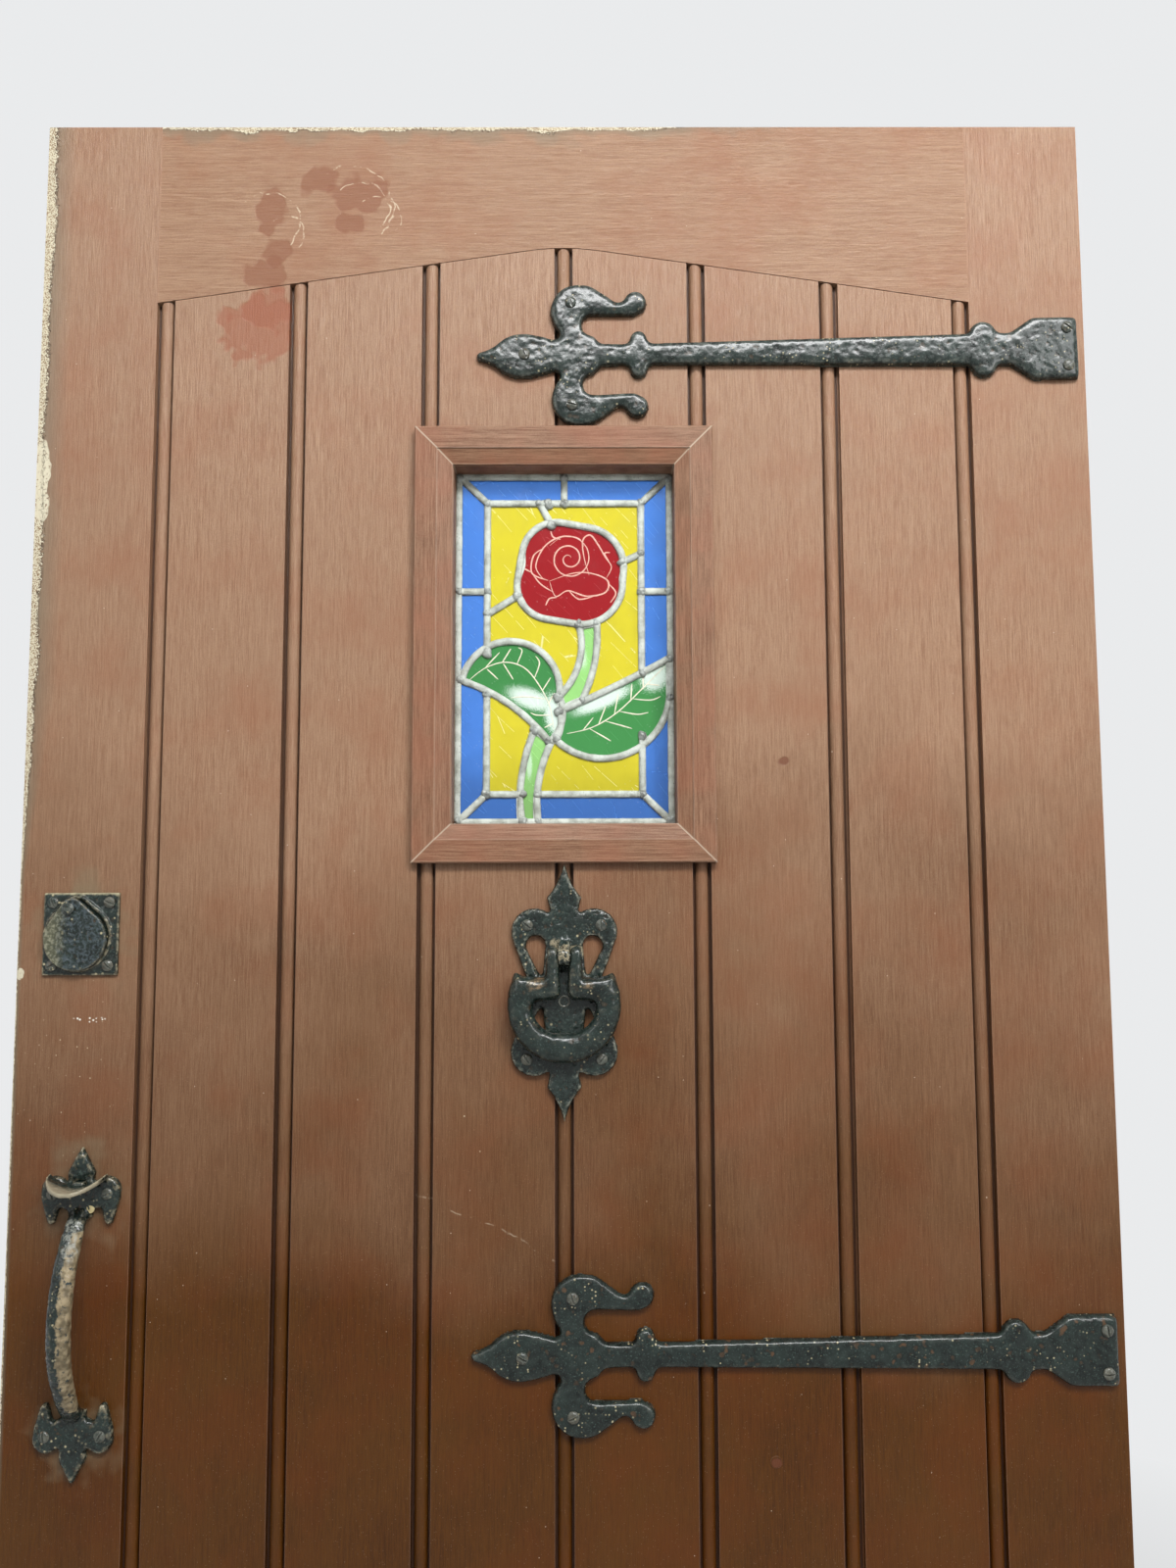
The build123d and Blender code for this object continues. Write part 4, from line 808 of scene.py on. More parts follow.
brass = dull_metal("Dull brass", (0.66, 0.47, 0.2), (0.3, 0.2, 0.09), 0.3, 0.5)
steel = dull_metal("Dull steel", (0.52, 0.52, 0.5), (0.27, 0.25, 0.22), 0.35, 0.55)
finish(brass, "lock_cylinder", "nightlatch_knob")
finish(steel, "latch_bolt", "hinge_leaf_flaps", "hinge_frame_flaps", "hinge_pins")
print("metals:", brass.name, steel.name)

# %% [markdown]
# Lead cames weather to a pale grey with a bloom on it, and the solder at each
# joint is a darker, shinier lump. Lead is a metal, but the bloom makes it look
# like chalky stone, so it is only partly metallic and quite rough.

# %% Lead and solder
def lead_finish(name, pale, dark, rough):
    """Weathered lead with a pale bloom and dark grime."""
    material, shader, vector = new_material(name, pale, {"Metallic": 0.12})
    bloom = cloudy(vector, 130.0, 0.34, 0.6)
    grime = dotted(vector, 600.0, 0.35, 0.15)
    colour = layered(blend(bloom, dark, pale), (grime * 0.5, scaled(dark, 0.35)))
    height = noise_of(vector, 500.0, 4.0, 0.6)
    surface(shader, colour, ramp(bloom, 0.0, 1.0, rough - 0.15, rough), height, 0.0005)
    return material


lead = lead_finish("Weathered lead", (0.5, 0.54, 0.49), (0.27, 0.29, 0.25), 0.6)
solder = lead_finish("Solder", (0.34, 0.37, 0.34), (0.15, 0.16, 0.145), 0.42)
finish(lead, "lead_cames")
print("lead colour", tuple(round(v, 2) for v in lead.diffuse_color[:3]))

# %% [markdown]
# Each colour of glass is its own material: coloured right through, a little
# wavy and dusty. Transmission is a plain number on the shader, and the dust,
# scratches and painted shading go into its colour and roughness.

# %% Coloured glass
def coloured_glass(name, tone, clear, dusty=0.25, scratched=0.0, extra=None):
    """Rippled coloured glass with dust and scratches."""
    constants = {"Transmission Weight": clear, "IOR": 1.5, "Metallic": 0.0, "Specular IOR Level": 0.3}
    material, shader, vector = new_material(name, tone, constants)
    cloud = cloudy(vector, 55.0, 0.35, 0.7)
    lines = scratched_lines(vector, 75.0, 0.7, 0.5)
    dust = dotted(vector, 500.0, 0.25, 0.12)
    colour = layered(tone, (cloud * 0.25, scaled(tone, 0.75)), (dust * dusty, scaled(tone, 0.4, 0.35)))
    if scratched:
        colour = blend(lines * scratched, colour, scaled(tone, 0.5, 0.5))
    if extra:
        colour = extra(vector, colour)
    ripple = noise_of(stretched(vector, (60.0, 20.0, 25.0)), 1.0, 2.0)
    surface(shader, colour, ramp(cloud + lines, 0.0, 2.0, 0.1, 0.4), ripple, 0.0008)
    return material

# %% [markdown]
# The leaves and the stem are shaded with white glass paint, thick in the middle of
# a stroke and speckled at its edge. A few leaning ovals stand for the strokes.

# %% Shaded leaves and kinds of glass
def frosted(spots, amount):
    """Painted white shading on a leaf: speckled, thick in the middle of each spot."""
    def add(vector, colour):
        parts = xyz(vector)
        total = None
        for x, z, half_width, half_height, turn in spots:
            dx, dz = parts[0] - x, parts[2] - z
            along, aside = dx * cos(turn) + dz * sin(turn), dz * cos(turn) - dx * sin(turn)
            near = ramp(span_of(along / half_width, aside / half_height), 0.0, 1.0, 1.0, 0.0)
            total = near if total is None else math("MAXIMUM", total, near)
        cover = total * 0.75 + (noise_of(vector, 1500.0, 2.0, 0.6) - 0.8)
        return blend(ramp(cover, 0.0, 0.12) * amount, colour, (0.72, 0.84, 0.76))
    return add


stem_frost = frosted([(0.013, 1.624, 0.008, 0.02, 0.2), (-0.028, 1.535, 0.004, 0.02, 0.0)], 0.5)
left_frost = frosted([(-0.027, 1.588, 0.034, 0.014, -0.35), (-0.008, 1.575, 0.014, 0.03, 0.2)], 0.9)
right_frost = frosted([(0.03, 1.587, 0.044, 0.012, 0.42), (0.072, 1.606, 0.022, 0.02, 0.8)], 0.9)
for name, title, tone, clear, more in (
    ("glass_border", "Blue glass", (0.05, 0.17, 0.52), 0.35, {"dusty": 0.3}),
    ("glass_ground", "Yellow glass", (0.56, 0.49, 0.022), 0.28, {"scratched": 0.5}),
    ("glass_rose", "Red glass", (0.3, 0.006, 0.01), 0.12, {}),
    ("glass_stem", "Pale green glass", (0.25, 0.52, 0.16), 0.35, {"extra": stem_frost}),
    ("glass_leaf_left", "Green glass left leaf", (0.045, 0.23, 0.06), 0.15, {"extra": left_frost}),
    ("glass_leaf_right", "Green glass right leaf", (0.05, 0.25, 0.065), 0.15, {"extra": right_frost}),
):
    finish(coloured_glass(title, tone, clear, **more), name)
print("kinds of glass:", sum(1 for m in bpy.data.materials if "glass" in m.name.lower()))

# %% [markdown]
# New pieces are meshes made from points. These helpers join many small forms
# into one mesh, make an object of it, let it ride on its body and give it a
# finish. Most forms are rows of points with four-cornered faces between them.

# %% Helpers for pieces
def placed(name, mesh, material):
    """An object of a mesh with one finish, put into the scene."""
    mesh.materials.append(material)
    made = bpy.data.objects.new(name, mesh)
    bpy.context.scene.collection.objects.link(made)
    return made


def piece(name, points, faces, body, slot, material, smooth=True):
    """A mesh piece that rides on a body of the door."""
    mesh = bpy.data.meshes.new(name)
    mesh.from_pydata([tuple(p) for p in points], [], faces)
    mesh.update()
    if smooth:
        mesh.shade_smooth()
    made = placed(name, mesh, material)
    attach(made, body)
    print(name, len(points), "points", len(faces), "faces")


def joined(forms):
    """The points and faces of many forms as one."""
    points, faces = [], []
    for more, more_faces in forms:
        start = len(points)
        points += more
        faces += [tuple(start + i for i in f) for f in more_faces]
    return points, faces


def round_rows(rows, around):
    """Faces between rings of points that lie one above the other."""
    steps = [(k, (k + 1) % around) for k in range(around)]
    pairs = [(ring * around + k, ring * around + n) for ring in range(rows - 1) for k, n in steps]
    return [(a, n, n + around, a + around) for a, n in pairs]


def facing(faces, side):
    """The faces, turned over where they look towards +Y."""
    return faces if side < 0 else [f[::-1] for f in faces]

# %% [markdown]
# The solid straps have flat faces and sharp edges. The real ones were rounded
# under the hammer. A bevel would round the edges evenly; instead the solid is
# cut into small cubes and skinned again, smoothed, and then pushed in and out
# by noise, which gives soft shoulders and a restless surface. The side that
# lies on the wood is left where it was.

# %% Skin of an iron part
def read_out(items, what, kind, width):
    """One property of all points or edges, as rows of numbers."""
    values = np.empty(len(items) * width, kind)
    items.foreach_get(what, values)
    return values.reshape(-1, width)


def put_back(mesh, points):
    """Move the points of a mesh."""
    mesh.vertices.foreach_set("co", points.ravel())
    mesh.update()


def neighbours_mean(count, edges, points):
    """The mean of each point's neighbours."""
    total = np.zeros((count, 3))
    number = np.bincount(edges.ravel(), minlength=count).reshape(-1, 1)
    for axis in range(3):
        total[:, axis] += np.bincount(edges[:, 0], points[edges[:, 1], axis], count)
        total[:, axis] += np.bincount(edges[:, 1], points[edges[:, 0], axis], count)
    return total / np.maximum(number, 1)


def skinned(node, voxel):
    """The solid part as one even skin of small faces."""
    work = bpy.data.objects.new("work", nodes[node].data.copy())
    bpy.context.scene.collection.objects.link(work)
    remesh = work.modifiers.new("skin", "REMESH")
    remesh.mode = "VOXEL"
    remesh.voxel_size = voxel
    graph = bpy.context.evaluated_depsgraph_get()
    mesh = bpy.data.meshes.new_from_object(work.evaluated_get(graph))
    bpy.data.objects.remove(work)
    return mesh

# %% [markdown]
# Smoothing shrinks a form, and most of all its tips. The ends are drawn out again to
# the solid part's box, and the whole is kept inside that box.

# %% Keeping to the solid part's box
def squeezed(points, low, high):
    """The points drawn in evenly along each axis, so that none lies outside the solid part's box."""
    low, high = np.array(low), np.array(high)
    middle, half = (low + high) / 2, (high - low) / 2
    reach = np.abs(points - middle).max(axis=0)
    return middle + (points - middle) * np.minimum(1.0, half / reach)


def drawn_out(points, low, high, reach=0.025):
    """The ends that the rounding shortened, drawn out sideways and upwards to the solid part's box."""
    for axis in (0, 2):
        for end, tip in ((high[axis], points[:, axis].max()), (low[axis], points[:, axis].min())):
            share = np.clip(1 - np.abs(points[:, axis] - tip) / reach, 0, 1)
            points[:, axis] += (end - tip) * share
    return points


def lumpy(point, size):
    """How far a point stands out in noise of two sizes."""
    return noise.noise(Vector(point) / size) + 0.5 * noise.noise(Vector(point) * 2.3 / size)

# %% [markdown]
# The steps come together in one function: skin, smooth, push out along the
# normals, draw out, and lay the resting side flat again.

# %% Forging
INNER_THICKENING = 0.0022
RESTING_DEPTH = 0.0004
FADE_LENGTH = 0.01


def forged(node, body, material, voxel=0.0011, rounds=20, lump=0.00018, lump_size=0.008, flat_back=None,
           puff=0.0004, inward=None, crisp_above=None):
    """
    A rounded, lumpy copy of an iron part that stands for the solid one. Puff
    gives back what the rounding took; inward thickens the side that faces a point;
    above crisp_above the rounding fades out over 10 mm, which keeps small ends sharp.
    """
    mesh = skinned(node, voxel)
    count = len(mesh.vertices)
    first = read_out(mesh.vertices, "co", float, 3)
    edges = read_out(mesh.edges, "vertices", int, 2)
    points, pull = first, np.full((count, 1), 1.0)
    if crisp_above is not None:
        pull = np.clip(1 - (points[:, 2:3] - crisp_above) / FADE_LENGTH, 0.2, 1)
    for _ in range(rounds):
        points = points + 0.5 * pull * (neighbours_mean(count, edges, points) - points)
    put_back(mesh, points)
    normals = read_out(mesh.vertices, "normal", float, 3)
    push = np.array([lumpy(p, lump_size) for p in points]) * lump + puff * pull[:, 0]
    if inward is not None:
        towards = np.array(inward) - points
        towards /= np.linalg.norm(towards, axis=1).reshape(-1, 1)
        push = push + INNER_THICKENING * np.maximum((towards * normals).sum(axis=1), 0)
    points = points + normals * push.reshape(-1, 1)
    points = squeezed(drawn_out(points, *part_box(node)), *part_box(node))
    if flat_back is not None:
        resting = first[:, 1] > flat_back - RESTING_DEPTH
        points[resting] = first[resting]
    put_back(mesh, points)
    mesh.shade_smooth()
    mesh.materials.clear()
    made = placed(node + "_forged", mesh, material)
    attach(made, body)
    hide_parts(node)
    print(made.name, count, "points")

# %% [markdown]
# Small cast pieces need small cubes and few rounds. The ring is a thick round
# bar, so it is smoothed the longest, and its ears are kept crisp.

# %% Forged pieces
RING_MIDDLE = (0, -0.0346, 1.345)
forged("strap_top", "leaf", iron_strap, flat_back=FRONT)
forged("strap_lower", "leaf", iron_low_strap, flat_back=FRONT)
forged("knocker_plate", "leaf", iron_knocker, 0.0008, 8, 0.0003, 0.004, flat_back=FRONT, puff=0.0002)
forged("knocker_ring", "knocker", iron_ring, 0.001, 240, 0.0005, 0.009, puff=0.0029, inward=RING_MIDDLE,
       crisp_above=1.359)
forged("pull_handle", "leaf", iron_handle, 0.0008, 14, 0.00035, 0.005, flat_back=FRONT)
forged("thumb_press", "thumb_piece", iron_thumb, 0.0007, 5, 0.0002, 0.006, puff=0.0001)
forged("escutcheon_plate", "leaf", iron_lock_plate, 0.0007, 5, 0.0002, 0.005, flat_back=FRONT, puff=0.0001)
forged("escutcheon_cover", "cover", iron_cover, 0.0006, 5, 0.00012, 0.005, puff=0.0001)

# %% [markdown]
# Slotted wood screws hold all the ironwork. A screw head is a low dome with a
# straight slot. It is built as rows of points across the dome: two pairs of
# rows lie close together, and the rows between them are sunk to make the slot.

# %% Slotted screws
SLOT_WIDTH = 0.0012
ROW_POINTS = 13


def slotted_head(radius, rise, slot_depth):
    """Points, faces and rim of one slotted dome head, rising along local Z."""
    lip = SLOT_WIDTH / 2
    wide = [w * radius * 0.995 for w in (-1, -0.93, -0.8, -0.6, -0.4)]
    rows = wide + [-lip - 0.00008, -lip, lip, lip + 0.00008] + [-u for u in reversed(wide)]
    points = []
    for u in rows:
        chord = sqrt(max(radius * radius - u * u, 0))
        for j in range(ROW_POINTS):
            v = chord * sin((j / (ROW_POINTS - 1) - 0.5) * pi)
            away = min(hypot(u, v) / radius, 1.0)
            height = rise * sqrt(max(1 - away ** 2.4, 0)) * 0.8 + rise * 0.2
            if abs(u) <= lip + 0.00001:
                height = max(rise - slot_depth, 0.0001) if away < 0.97 else 0.0001
            points.append((u, v, height))
    starts = [i * ROW_POINTS for i in range(len(rows))]
    faces = [(a, a + ROW_POINTS, a + ROW_POINTS + 1, a + 1)
             for start in starts[:-1] for a in range(start, start + ROW_POINTS - 1)]
    rim = starts + [starts[-1] + j for j in range(1, ROW_POINTS)]
    rim += [start + ROW_POINTS - 1 for start in reversed(starts[:-1])] + list(range(ROW_POINTS - 2, 0, -1))
    return points, faces, rim

# %% [markdown]
# A head is turned to its own angle, because no two slots on a real door line up.
# A short skirt closes it towards the plate, so that no gap shows under the rim.

# %% Screws as pieces
SKIRT = -0.0003


def screw(place, side, rise, slot_depth, edgewise):
    """Points and faces of one screw head in its place, with a skirt under its rim."""
    x, y, z, radius, turn = place
    head, faces, rim = slotted_head(radius, rise, slot_depth)
    points = []
    for u, v, h in head + [(head[i][0], head[i][1], SKIRT) for i in rim]:
        across = u * cos(turn) - v * sin(turn)
        up = u * sin(turn) + v * cos(turn)
        points.append((x + h, y + across, z + up) if edgewise else (x + across, y + side * h, z + up))
    faces = faces if edgewise else facing(faces, side)
    for k, start in enumerate(rim):
        n = (k + 1) % len(rim)
        faces.append((start, len(head) + k, len(head) + n, rim[n]))
    return points, faces


def screws(name, places, material, slot="black_iron", side=-1, rise=0.0027, slot_depth=0.0015,
           edgewise=False):
    """A set of screw heads; a place is x, y, z, radius and the slot's turn. Edgewise heads face +X."""
    heads = [screw(place, side, rise, slot_depth, edgewise) for place in places]
    piece(name, *joined(heads), "leaf", slot, material, smooth=False)

# %% [markdown]
# Screws sit at the four corners of a plate, or along a strap, which leans a
# little. Their iron is rustier than the plates.

# %% Screws on the outer face
STRAP_TIP = -0.0698
STRAP_SCREWS = [(0.0385, 0.0), (0.076, 0.0424), (0.076, -0.0424), (0.473, 0.0155), (0.473, -0.0155)]
PLATE_TOP = FRONT - 0.0049


def corner_places(x, y, z, dx, dz, radius, turns):
    """Four places at the corners of an oblong: the upper two first, left before right."""
    corners = ((-dx, dz), (dx, dz), (-dx, -dz), (dx, -dz))
    return [(x + i, y, z + j, radius, turn) for (i, j), turn in zip(corners, turns)]


def strap_places(height, tilt, turns):
    """The five places on a strap, each given along it from the tip and aside of its middle line."""
    places = []
    for (along, aside), turn in zip(STRAP_SCREWS, turns):
        x = STRAP_TIP + along * cos(tilt) - aside * sin(tilt)
        z = height + along * sin(tilt) + aside * cos(tilt)
        places.append((x, FRONT - 0.0068, z, 0.0046, turn))
    return places


screw_iron = black_iron("Screw iron", 0.003, 0.0006, rust=0.9, tone=(0.085, 0.078, 0.058))
screws("strap_screws_top", strap_places(1.861, 0.01414, (0.5, 0.2, 1.3, 0.9, 2.2)), screw_iron)
screws("strap_screws_lower", strap_places(1.0905, 0.00576, (1.1, 0.3, 2.0, 0.1, 1.6)), screw_iron)
screws("knocker_screws",
       corner_places(0.0, PLATE_TOP, 1.3585, 0.0284, 0.0505, 0.0045, (0.9, 0.05, 0.6, 2.5)), screw_iron)
screws("lock_plate_screws",
       corner_places(-0.3702, FRONT - 0.003, 1.4034, 0.0215, 0.024, 0.0044, (0.4, 1.2, 2.1, 0.8)),
       screw_iron, rise=0.0022, slot_depth=0.0012)
screws("handle_screws",
       corner_places(-0.363, PLATE_TOP, 1.123, 0.0205, 0.087, 0.0045, (0.3, 1.9, 0.1, 2.6)), screw_iron)
over_brass = dull_metal("Painted over brass", (0.62, 0.52, 0.27), (0.42, 0.33, 0.16), 0.6, 0.8, metallic=0.0)
screws("pale_screw", [(-0.3555, PLATE_TOP, 1.1995, 0.0038, 0.4)], over_brass, "brass", rise=0.0012,
       slot_depth=0.0004)

# %% [markdown]
# Two round details are not screws. A bolt head sits below the knocker's lug: a
# rim with a sunk middle. A wooden plug in the fifth board fills an old hole and
# stands a hair proud. Both are turned shapes, so one profile is spun round.

# %% Bolt head and wooden plug
def spun(name, x, y, z, profile, slot, material):
    """A round piece from a profile of radius and height, facing outward."""
    around = 40
    points = []
    for radius, height in profile:
        for k in range(around):
            turn = 2 * pi * k / around
            wander = 1 + 0.03 * noise.noise(Vector((cos(turn), sin(turn), radius * 900)))
            points.append((x + radius * wander * cos(turn), y - height, z + radius * wander * sin(turn)))
    lid = tuple((len(profile) - 1) * around + k for k in range(around))
    piece(name, points, round_rows(len(profile), around) + [lid], "leaf", slot, material)


bolt_profile = [(0.0047, -0.0003), (0.0047, 0.0006), (0.0042, 0.0011), (0.0036, 0.0011), (0.0031, 0.0003),
                (0.002, 0.0001), (0.0008, 0.0)]
spun("knocker_bolt_head", 0.0, FRONT - 0.005, 1.3515, bolt_profile, "black_iron", screw_iron)
plug_profile = [(0.0046, -0.0002), (0.0045, 0.0002), (0.0041, 0.0004), (0.002, 0.00045)]
spun("wood_plug", 0.1565, FRONT, 1.0133, plug_profile, "painted_wood", paint_blemished)

# %% [markdown]
# The inner face has screws too: on the latch case, on the bar's two plates, and
# in the hinge flaps, where they lie in the edge of the door and face sideways.

# %% Screws on the inner face and the hinges
inner = {"side": 1, "rise": 0.0016, "slot_depth": 0.001}
case_places = corner_places(-0.376, 0.048, 1.4034, 0.035, 0.0255, 0.0036, (0.5, 1.5, 2.4, 0.2))
screws("latch_case_screws", case_places, screw_iron, **inner)
keeper_places = [(-0.398, 0.025, 1.21, 0.0036, 0.7), (-0.398, 0.025, 1.263, 0.0036, 1.9),
                 (-0.25, 0.0247, 1.2126, 0.0036, 0.2), (-0.25, 0.0247, 1.2466, 0.0036, 1.2)]
screws("latch_bar_screws", keeper_places, screw_iron, **inner)
HINGE_HEIGHTS = (1.868, 1.092, 0.23)
flap_holes = ((0.038, 0.002), (-0.038, 0.002), (0.013, 0.013), (-0.013, 0.013))
hinge_places = [(HALF_LEAF, y, middle + dz, 0.0042, 0.7 * number + 1.3 * place)
                for number, middle in enumerate(HINGE_HEIGHTS)
                for place, (dz, y) in enumerate(flap_holes)]
screws("hinge_screws", hinge_places, steel, "steel", rise=0.0005, slot_depth=0.0004, edgewise=True)

# %% [markdown]
# The solid lead is a flat sheet cut to the pattern. Real cames are rolled with
# a rounded face, so each line gets a rounded strip on both faces of the panel.
# A curve object with a bevel would give a full tube; a swept low arch keeps the
# lead's true height. The drawing is made of points on a grid of 35 by 57.2
# steps over the window. Each row below is one line: two points make a straight
# one, and three points a bow.

# %% The lines of the leaded light
STEP_X = 0.17503 / 35
STEP_Z = 0.285 / 57.2
LEAD_LINES = """
-16.4 -5.4, -8.4 1, -0.8 -8
-0.8 -8, -0.4 -12, -2.4 -15.4
-2.4 -15.4, -8.8 -9.2, -16.4 -5.4
-0.8 -10.4, 8 -6.4, 16.8 -1.8
16.8 -8, 6.6 -18, -1.4 -15
-1.4 -15, -0.6 -12.8, -0.8 -10.4
2.4 3.4, 2.4 -2.4, -0.7 -7.8
2.8 -8.6, 4.8 -2.8, 5.2 4
-4.8 -13.4, -6.6 -19.6, -6.7 -28.4
-4.1 -28.4, -4 -21.2, -2.2 -15.6
-17 -28.2, -12.4 -23.74
17 -28.2, 12.4 -23.74
-17 28.2, -12.4 23.74
17 28.2, 12.4 23.74
0 23.74, 0 28.2
-17 9.14, -12.4 9.14
12.4 9.14, 17 9.14
-4 23.74, -2.2 20.4
9.4 14, 12.4 15.4
-7.6 8.4, -12.4 5.4
-12.4 23.74, 12.4 23.74
-12.4 -23.74, -6.7 -23.74
-4 -23.74, 12.4 -23.74
-12.4 23.74, -12.4 -0.9
-12.4 -7.6, -12.4 -23.74
12.4 23.74, 12.4 -4.2
12.4 -14.4, 12.4 -23.74
"""


def on_window(across, up):
    """A point of the window's drawing, in metres."""
    return (across * STEP_X, WINDOW_HEIGHT + up * STEP_Z)


def drawing(text):
    """The rows of a drawing, each a list of its points in metres."""
    rows = [[point.split() for point in row.split(",")] for row in text.strip().splitlines()]
    return [[on_window(float(across), float(up)) for across, up in row] for row in rows]


def straight(start, end, count):
    """Points along the straight line between two points."""
    (ax, ay), (bx, by) = start, end
    return [(ax + (bx - ax) * k / count, ay + (by - ay) * k / count) for k in range(count + 1)]


def arc_through(start, middle, end, count=24):
    """Points along the circle through three points."""
    (ax, ay), (bx, by), (cx, cy) = start, middle, end
    d = 2 * (ax * (by - cy) + bx * (cy - ay) + cx * (ay - by))
    a2, b2, c2 = ax * ax + ay * ay, bx * bx + by * by, cx * cx + cy * cy
    ox = (a2 * (by - cy) + b2 * (cy - ay) + c2 * (ay - by)) / d
    oy = (a2 * (cx - bx) + b2 * (ax - cx) + c2 * (bx - ax)) / d
    radius = hypot(ax - ox, ay - oy)
    turns = [atan2(y - oy, x - ox) for x, y in (start, middle, end)]
    full = 2 * pi
    forward = (turns[2] - turns[0]) % full
    if (turns[1] - turns[0]) % full > forward:
        forward -= full
    steps = [turns[0] + forward * k / count for k in range(count + 1)]
    return [(ox + radius * cos(turn), oy + radius * sin(turn)) for turn in steps]


def lead_line(points):
    """A bow through three points, or a straight run in steps of about 4 mm."""
    if len(points) == 3:
        return arc_through(*points)
    (ax, az), (bx, bz) = points
    return straight(*points, max(2, int(hypot(bx - ax, bz - az) / 0.004)))


lead_lines = [lead_line(points) for points in drawing(LEAD_LINES)]
print("lead lines:", len(lead_lines))

# %% [markdown]
# The rose's outline goes round four circles like a tight cord. In every
# direction from the middle it lies where the furthest circle ends, and
# the change of that distance from one direction to the next gives the bend.

# %% Outline of the rose
def rose_outline(count=96):
    """Points round the rose's rounded outline, as a closed ring."""
    small, large = 5.6 * STEP_X, 6.6 * STEP_X
    rounds = [(on_window(-1.2, 15), small), (on_window(3, 13.2), large),
              (on_window(-2, 10.2), small), (on_window(2.8, 10.4), large)]
    middle_x, middle_z = on_window(0.6, 12.2)
    turns = [2 * pi * k / count for k in range(count)]
    reaches = [max(r + (x - middle_x) * cos(turn) + (z - middle_z) * sin(turn) for (x, z), r in rounds)
               for turn in turns]
    points = []
    for k, (turn, reach) in enumerate(zip(turns, reaches)):
        slope = (reaches[(k + 1) % count] - reaches[k - 1]) / (4 * pi / count)
        points.append((middle_x + reach * cos(turn) - slope * sin(turn),
                       middle_z + reach * sin(turn) + slope * cos(turn)))
    return points + points[:1]


rose_ring = rose_outline()
print("rose ring", round(max(p[0] for p in rose_ring), 4), round(max(p[1] for p in rose_ring), 4))

# %% [markdown]
# A strip follows its line with a low arch of seven points across. Noise along
# the line swells and thins it a little, like lead pressed by hand.

# %% Rounded strips
ARCH = [(-1, -0.15), (-0.92, 0.38), (-0.6, 0.8), (0, 1), (0.6, 0.8), (0.92, 0.38), (1, -0.15)]
PANEL_FACES = (("front", -0.003, -1), ("back", 0.002, 1))


def strip(path, width, rise, face, side, seed, uneven, taper):
    """Points and faces of a low rounded strip along a path on the window."""
    points, last, per = [], len(path) - 1, len(ARCH)
    for k, (x, z) in enumerate(path):
        before, after = path[max(k - 1, 0)], path[min(k + 1, last)]
        tx, tz = after[0] - before[0], after[1] - before[1]
        length = max(hypot(tx, tz), 1e-9)
        nx, nz = -tz / length, tx / length
        wander = noise.noise(Vector((x * 160, z * 160, seed)))
        swell = 1 + uneven * wander * 2
        if taper:
            swell *= max(0.25, sin(pi * min(max((k + 0.6) / (last + 1.2), 0), 1)) ** 0.45)
        for u, h in ARCH:
            half = u * width / 2 * swell
            height = h * rise * (1 + uneven * 3 * wander)
            points.append((x + nx * half, face + side * height, z + nz * half))
    quads = [(a, a + 1, a + per + 1, a + per) for k in range(last) for a in range(k * per, (k + 1) * per - 1)]
    ends = [tuple(range(per)), tuple(range(last * per, (last + 1) * per))]
    return points, facing(quads, side) + ends


def strips(name, paths, width, rise, face, side, slot, material, uneven, taper=False):
    """Many strips as one piece."""
    forms = [strip(path, width, rise, face, side, number * 1.7, uneven, taper)
             for number, path in enumerate(paths)]
    piece(name, *joined(forms), "leaf", slot, material)


CAME_WIDTH, CROWN_RISE, RIM_RISE = 0.0054, 0.0013, 0.0009
rim_x, rim_z = 0.0850, 0.1405
rim = [(i * rim_x, WINDOW_HEIGHT + j * rim_z) for i, j in ((-1, -1), (1, -1), (1, 1), (-1, 1))]
rim_lines = [straight(rim[k], rim[(k + 1) % 4], 60) for k in range(4)]
for title, face, side in PANEL_FACES:
    crowns = lead_lines + [rose_ring]
    strips("lead_crowns_" + title, crowns, CAME_WIDTH, CROWN_RISE, face, side, "lead", lead, 0.09)
    strips("lead_rim_" + title, rim_lines, CAME_WIDTH, RIM_RISE, face, side, "lead", lead, 0.05)

# %% [markdown]
# Every joint of the lead is soldered. Each blob of solder is an uneven flat dome
# a bit wider than the lead, so a ring of points shrinks inward in four steps
# while it rises, and noise pushes its rim in and out.

# %% Solder joints
SOLDER_RISE = 0.0019
SOLDER_JOINTS = """
-16.6 -5.2, -0.9 -8.2, -2.6 -15.2, -0.9 -10.4, -1.4 -14.8, 2.9 -8.6, -4.8 -13.4, -12.4 23.74, 12.4 23.74
-12.4 -23.74, 12.4 -23.74, 0 23.74, 0 28.0, -4.2 23.74, -2.2 20.2, 9.3 14.0, 12.4 15.4, -7.6 8.4, -12.4 5.6
-12.4 9.14, 12.4 9.14, -16.9 9.14, 16.9 9.14, 2.3 3.6, 5.1 4.0, -12.4 -0.9, -12.4 -7.6, 12.4 -4.2, 12.4 -14.4
-6.6 -23.74, -4.1 -23.74, -6.6 -28, -4.1 -28, -16.9 27.9, 16.9 27.9, -16.9 -27.9, 16.9 -27.9, 16.9 -1.9
16.9 -8.2, -2.6 23.6
"""


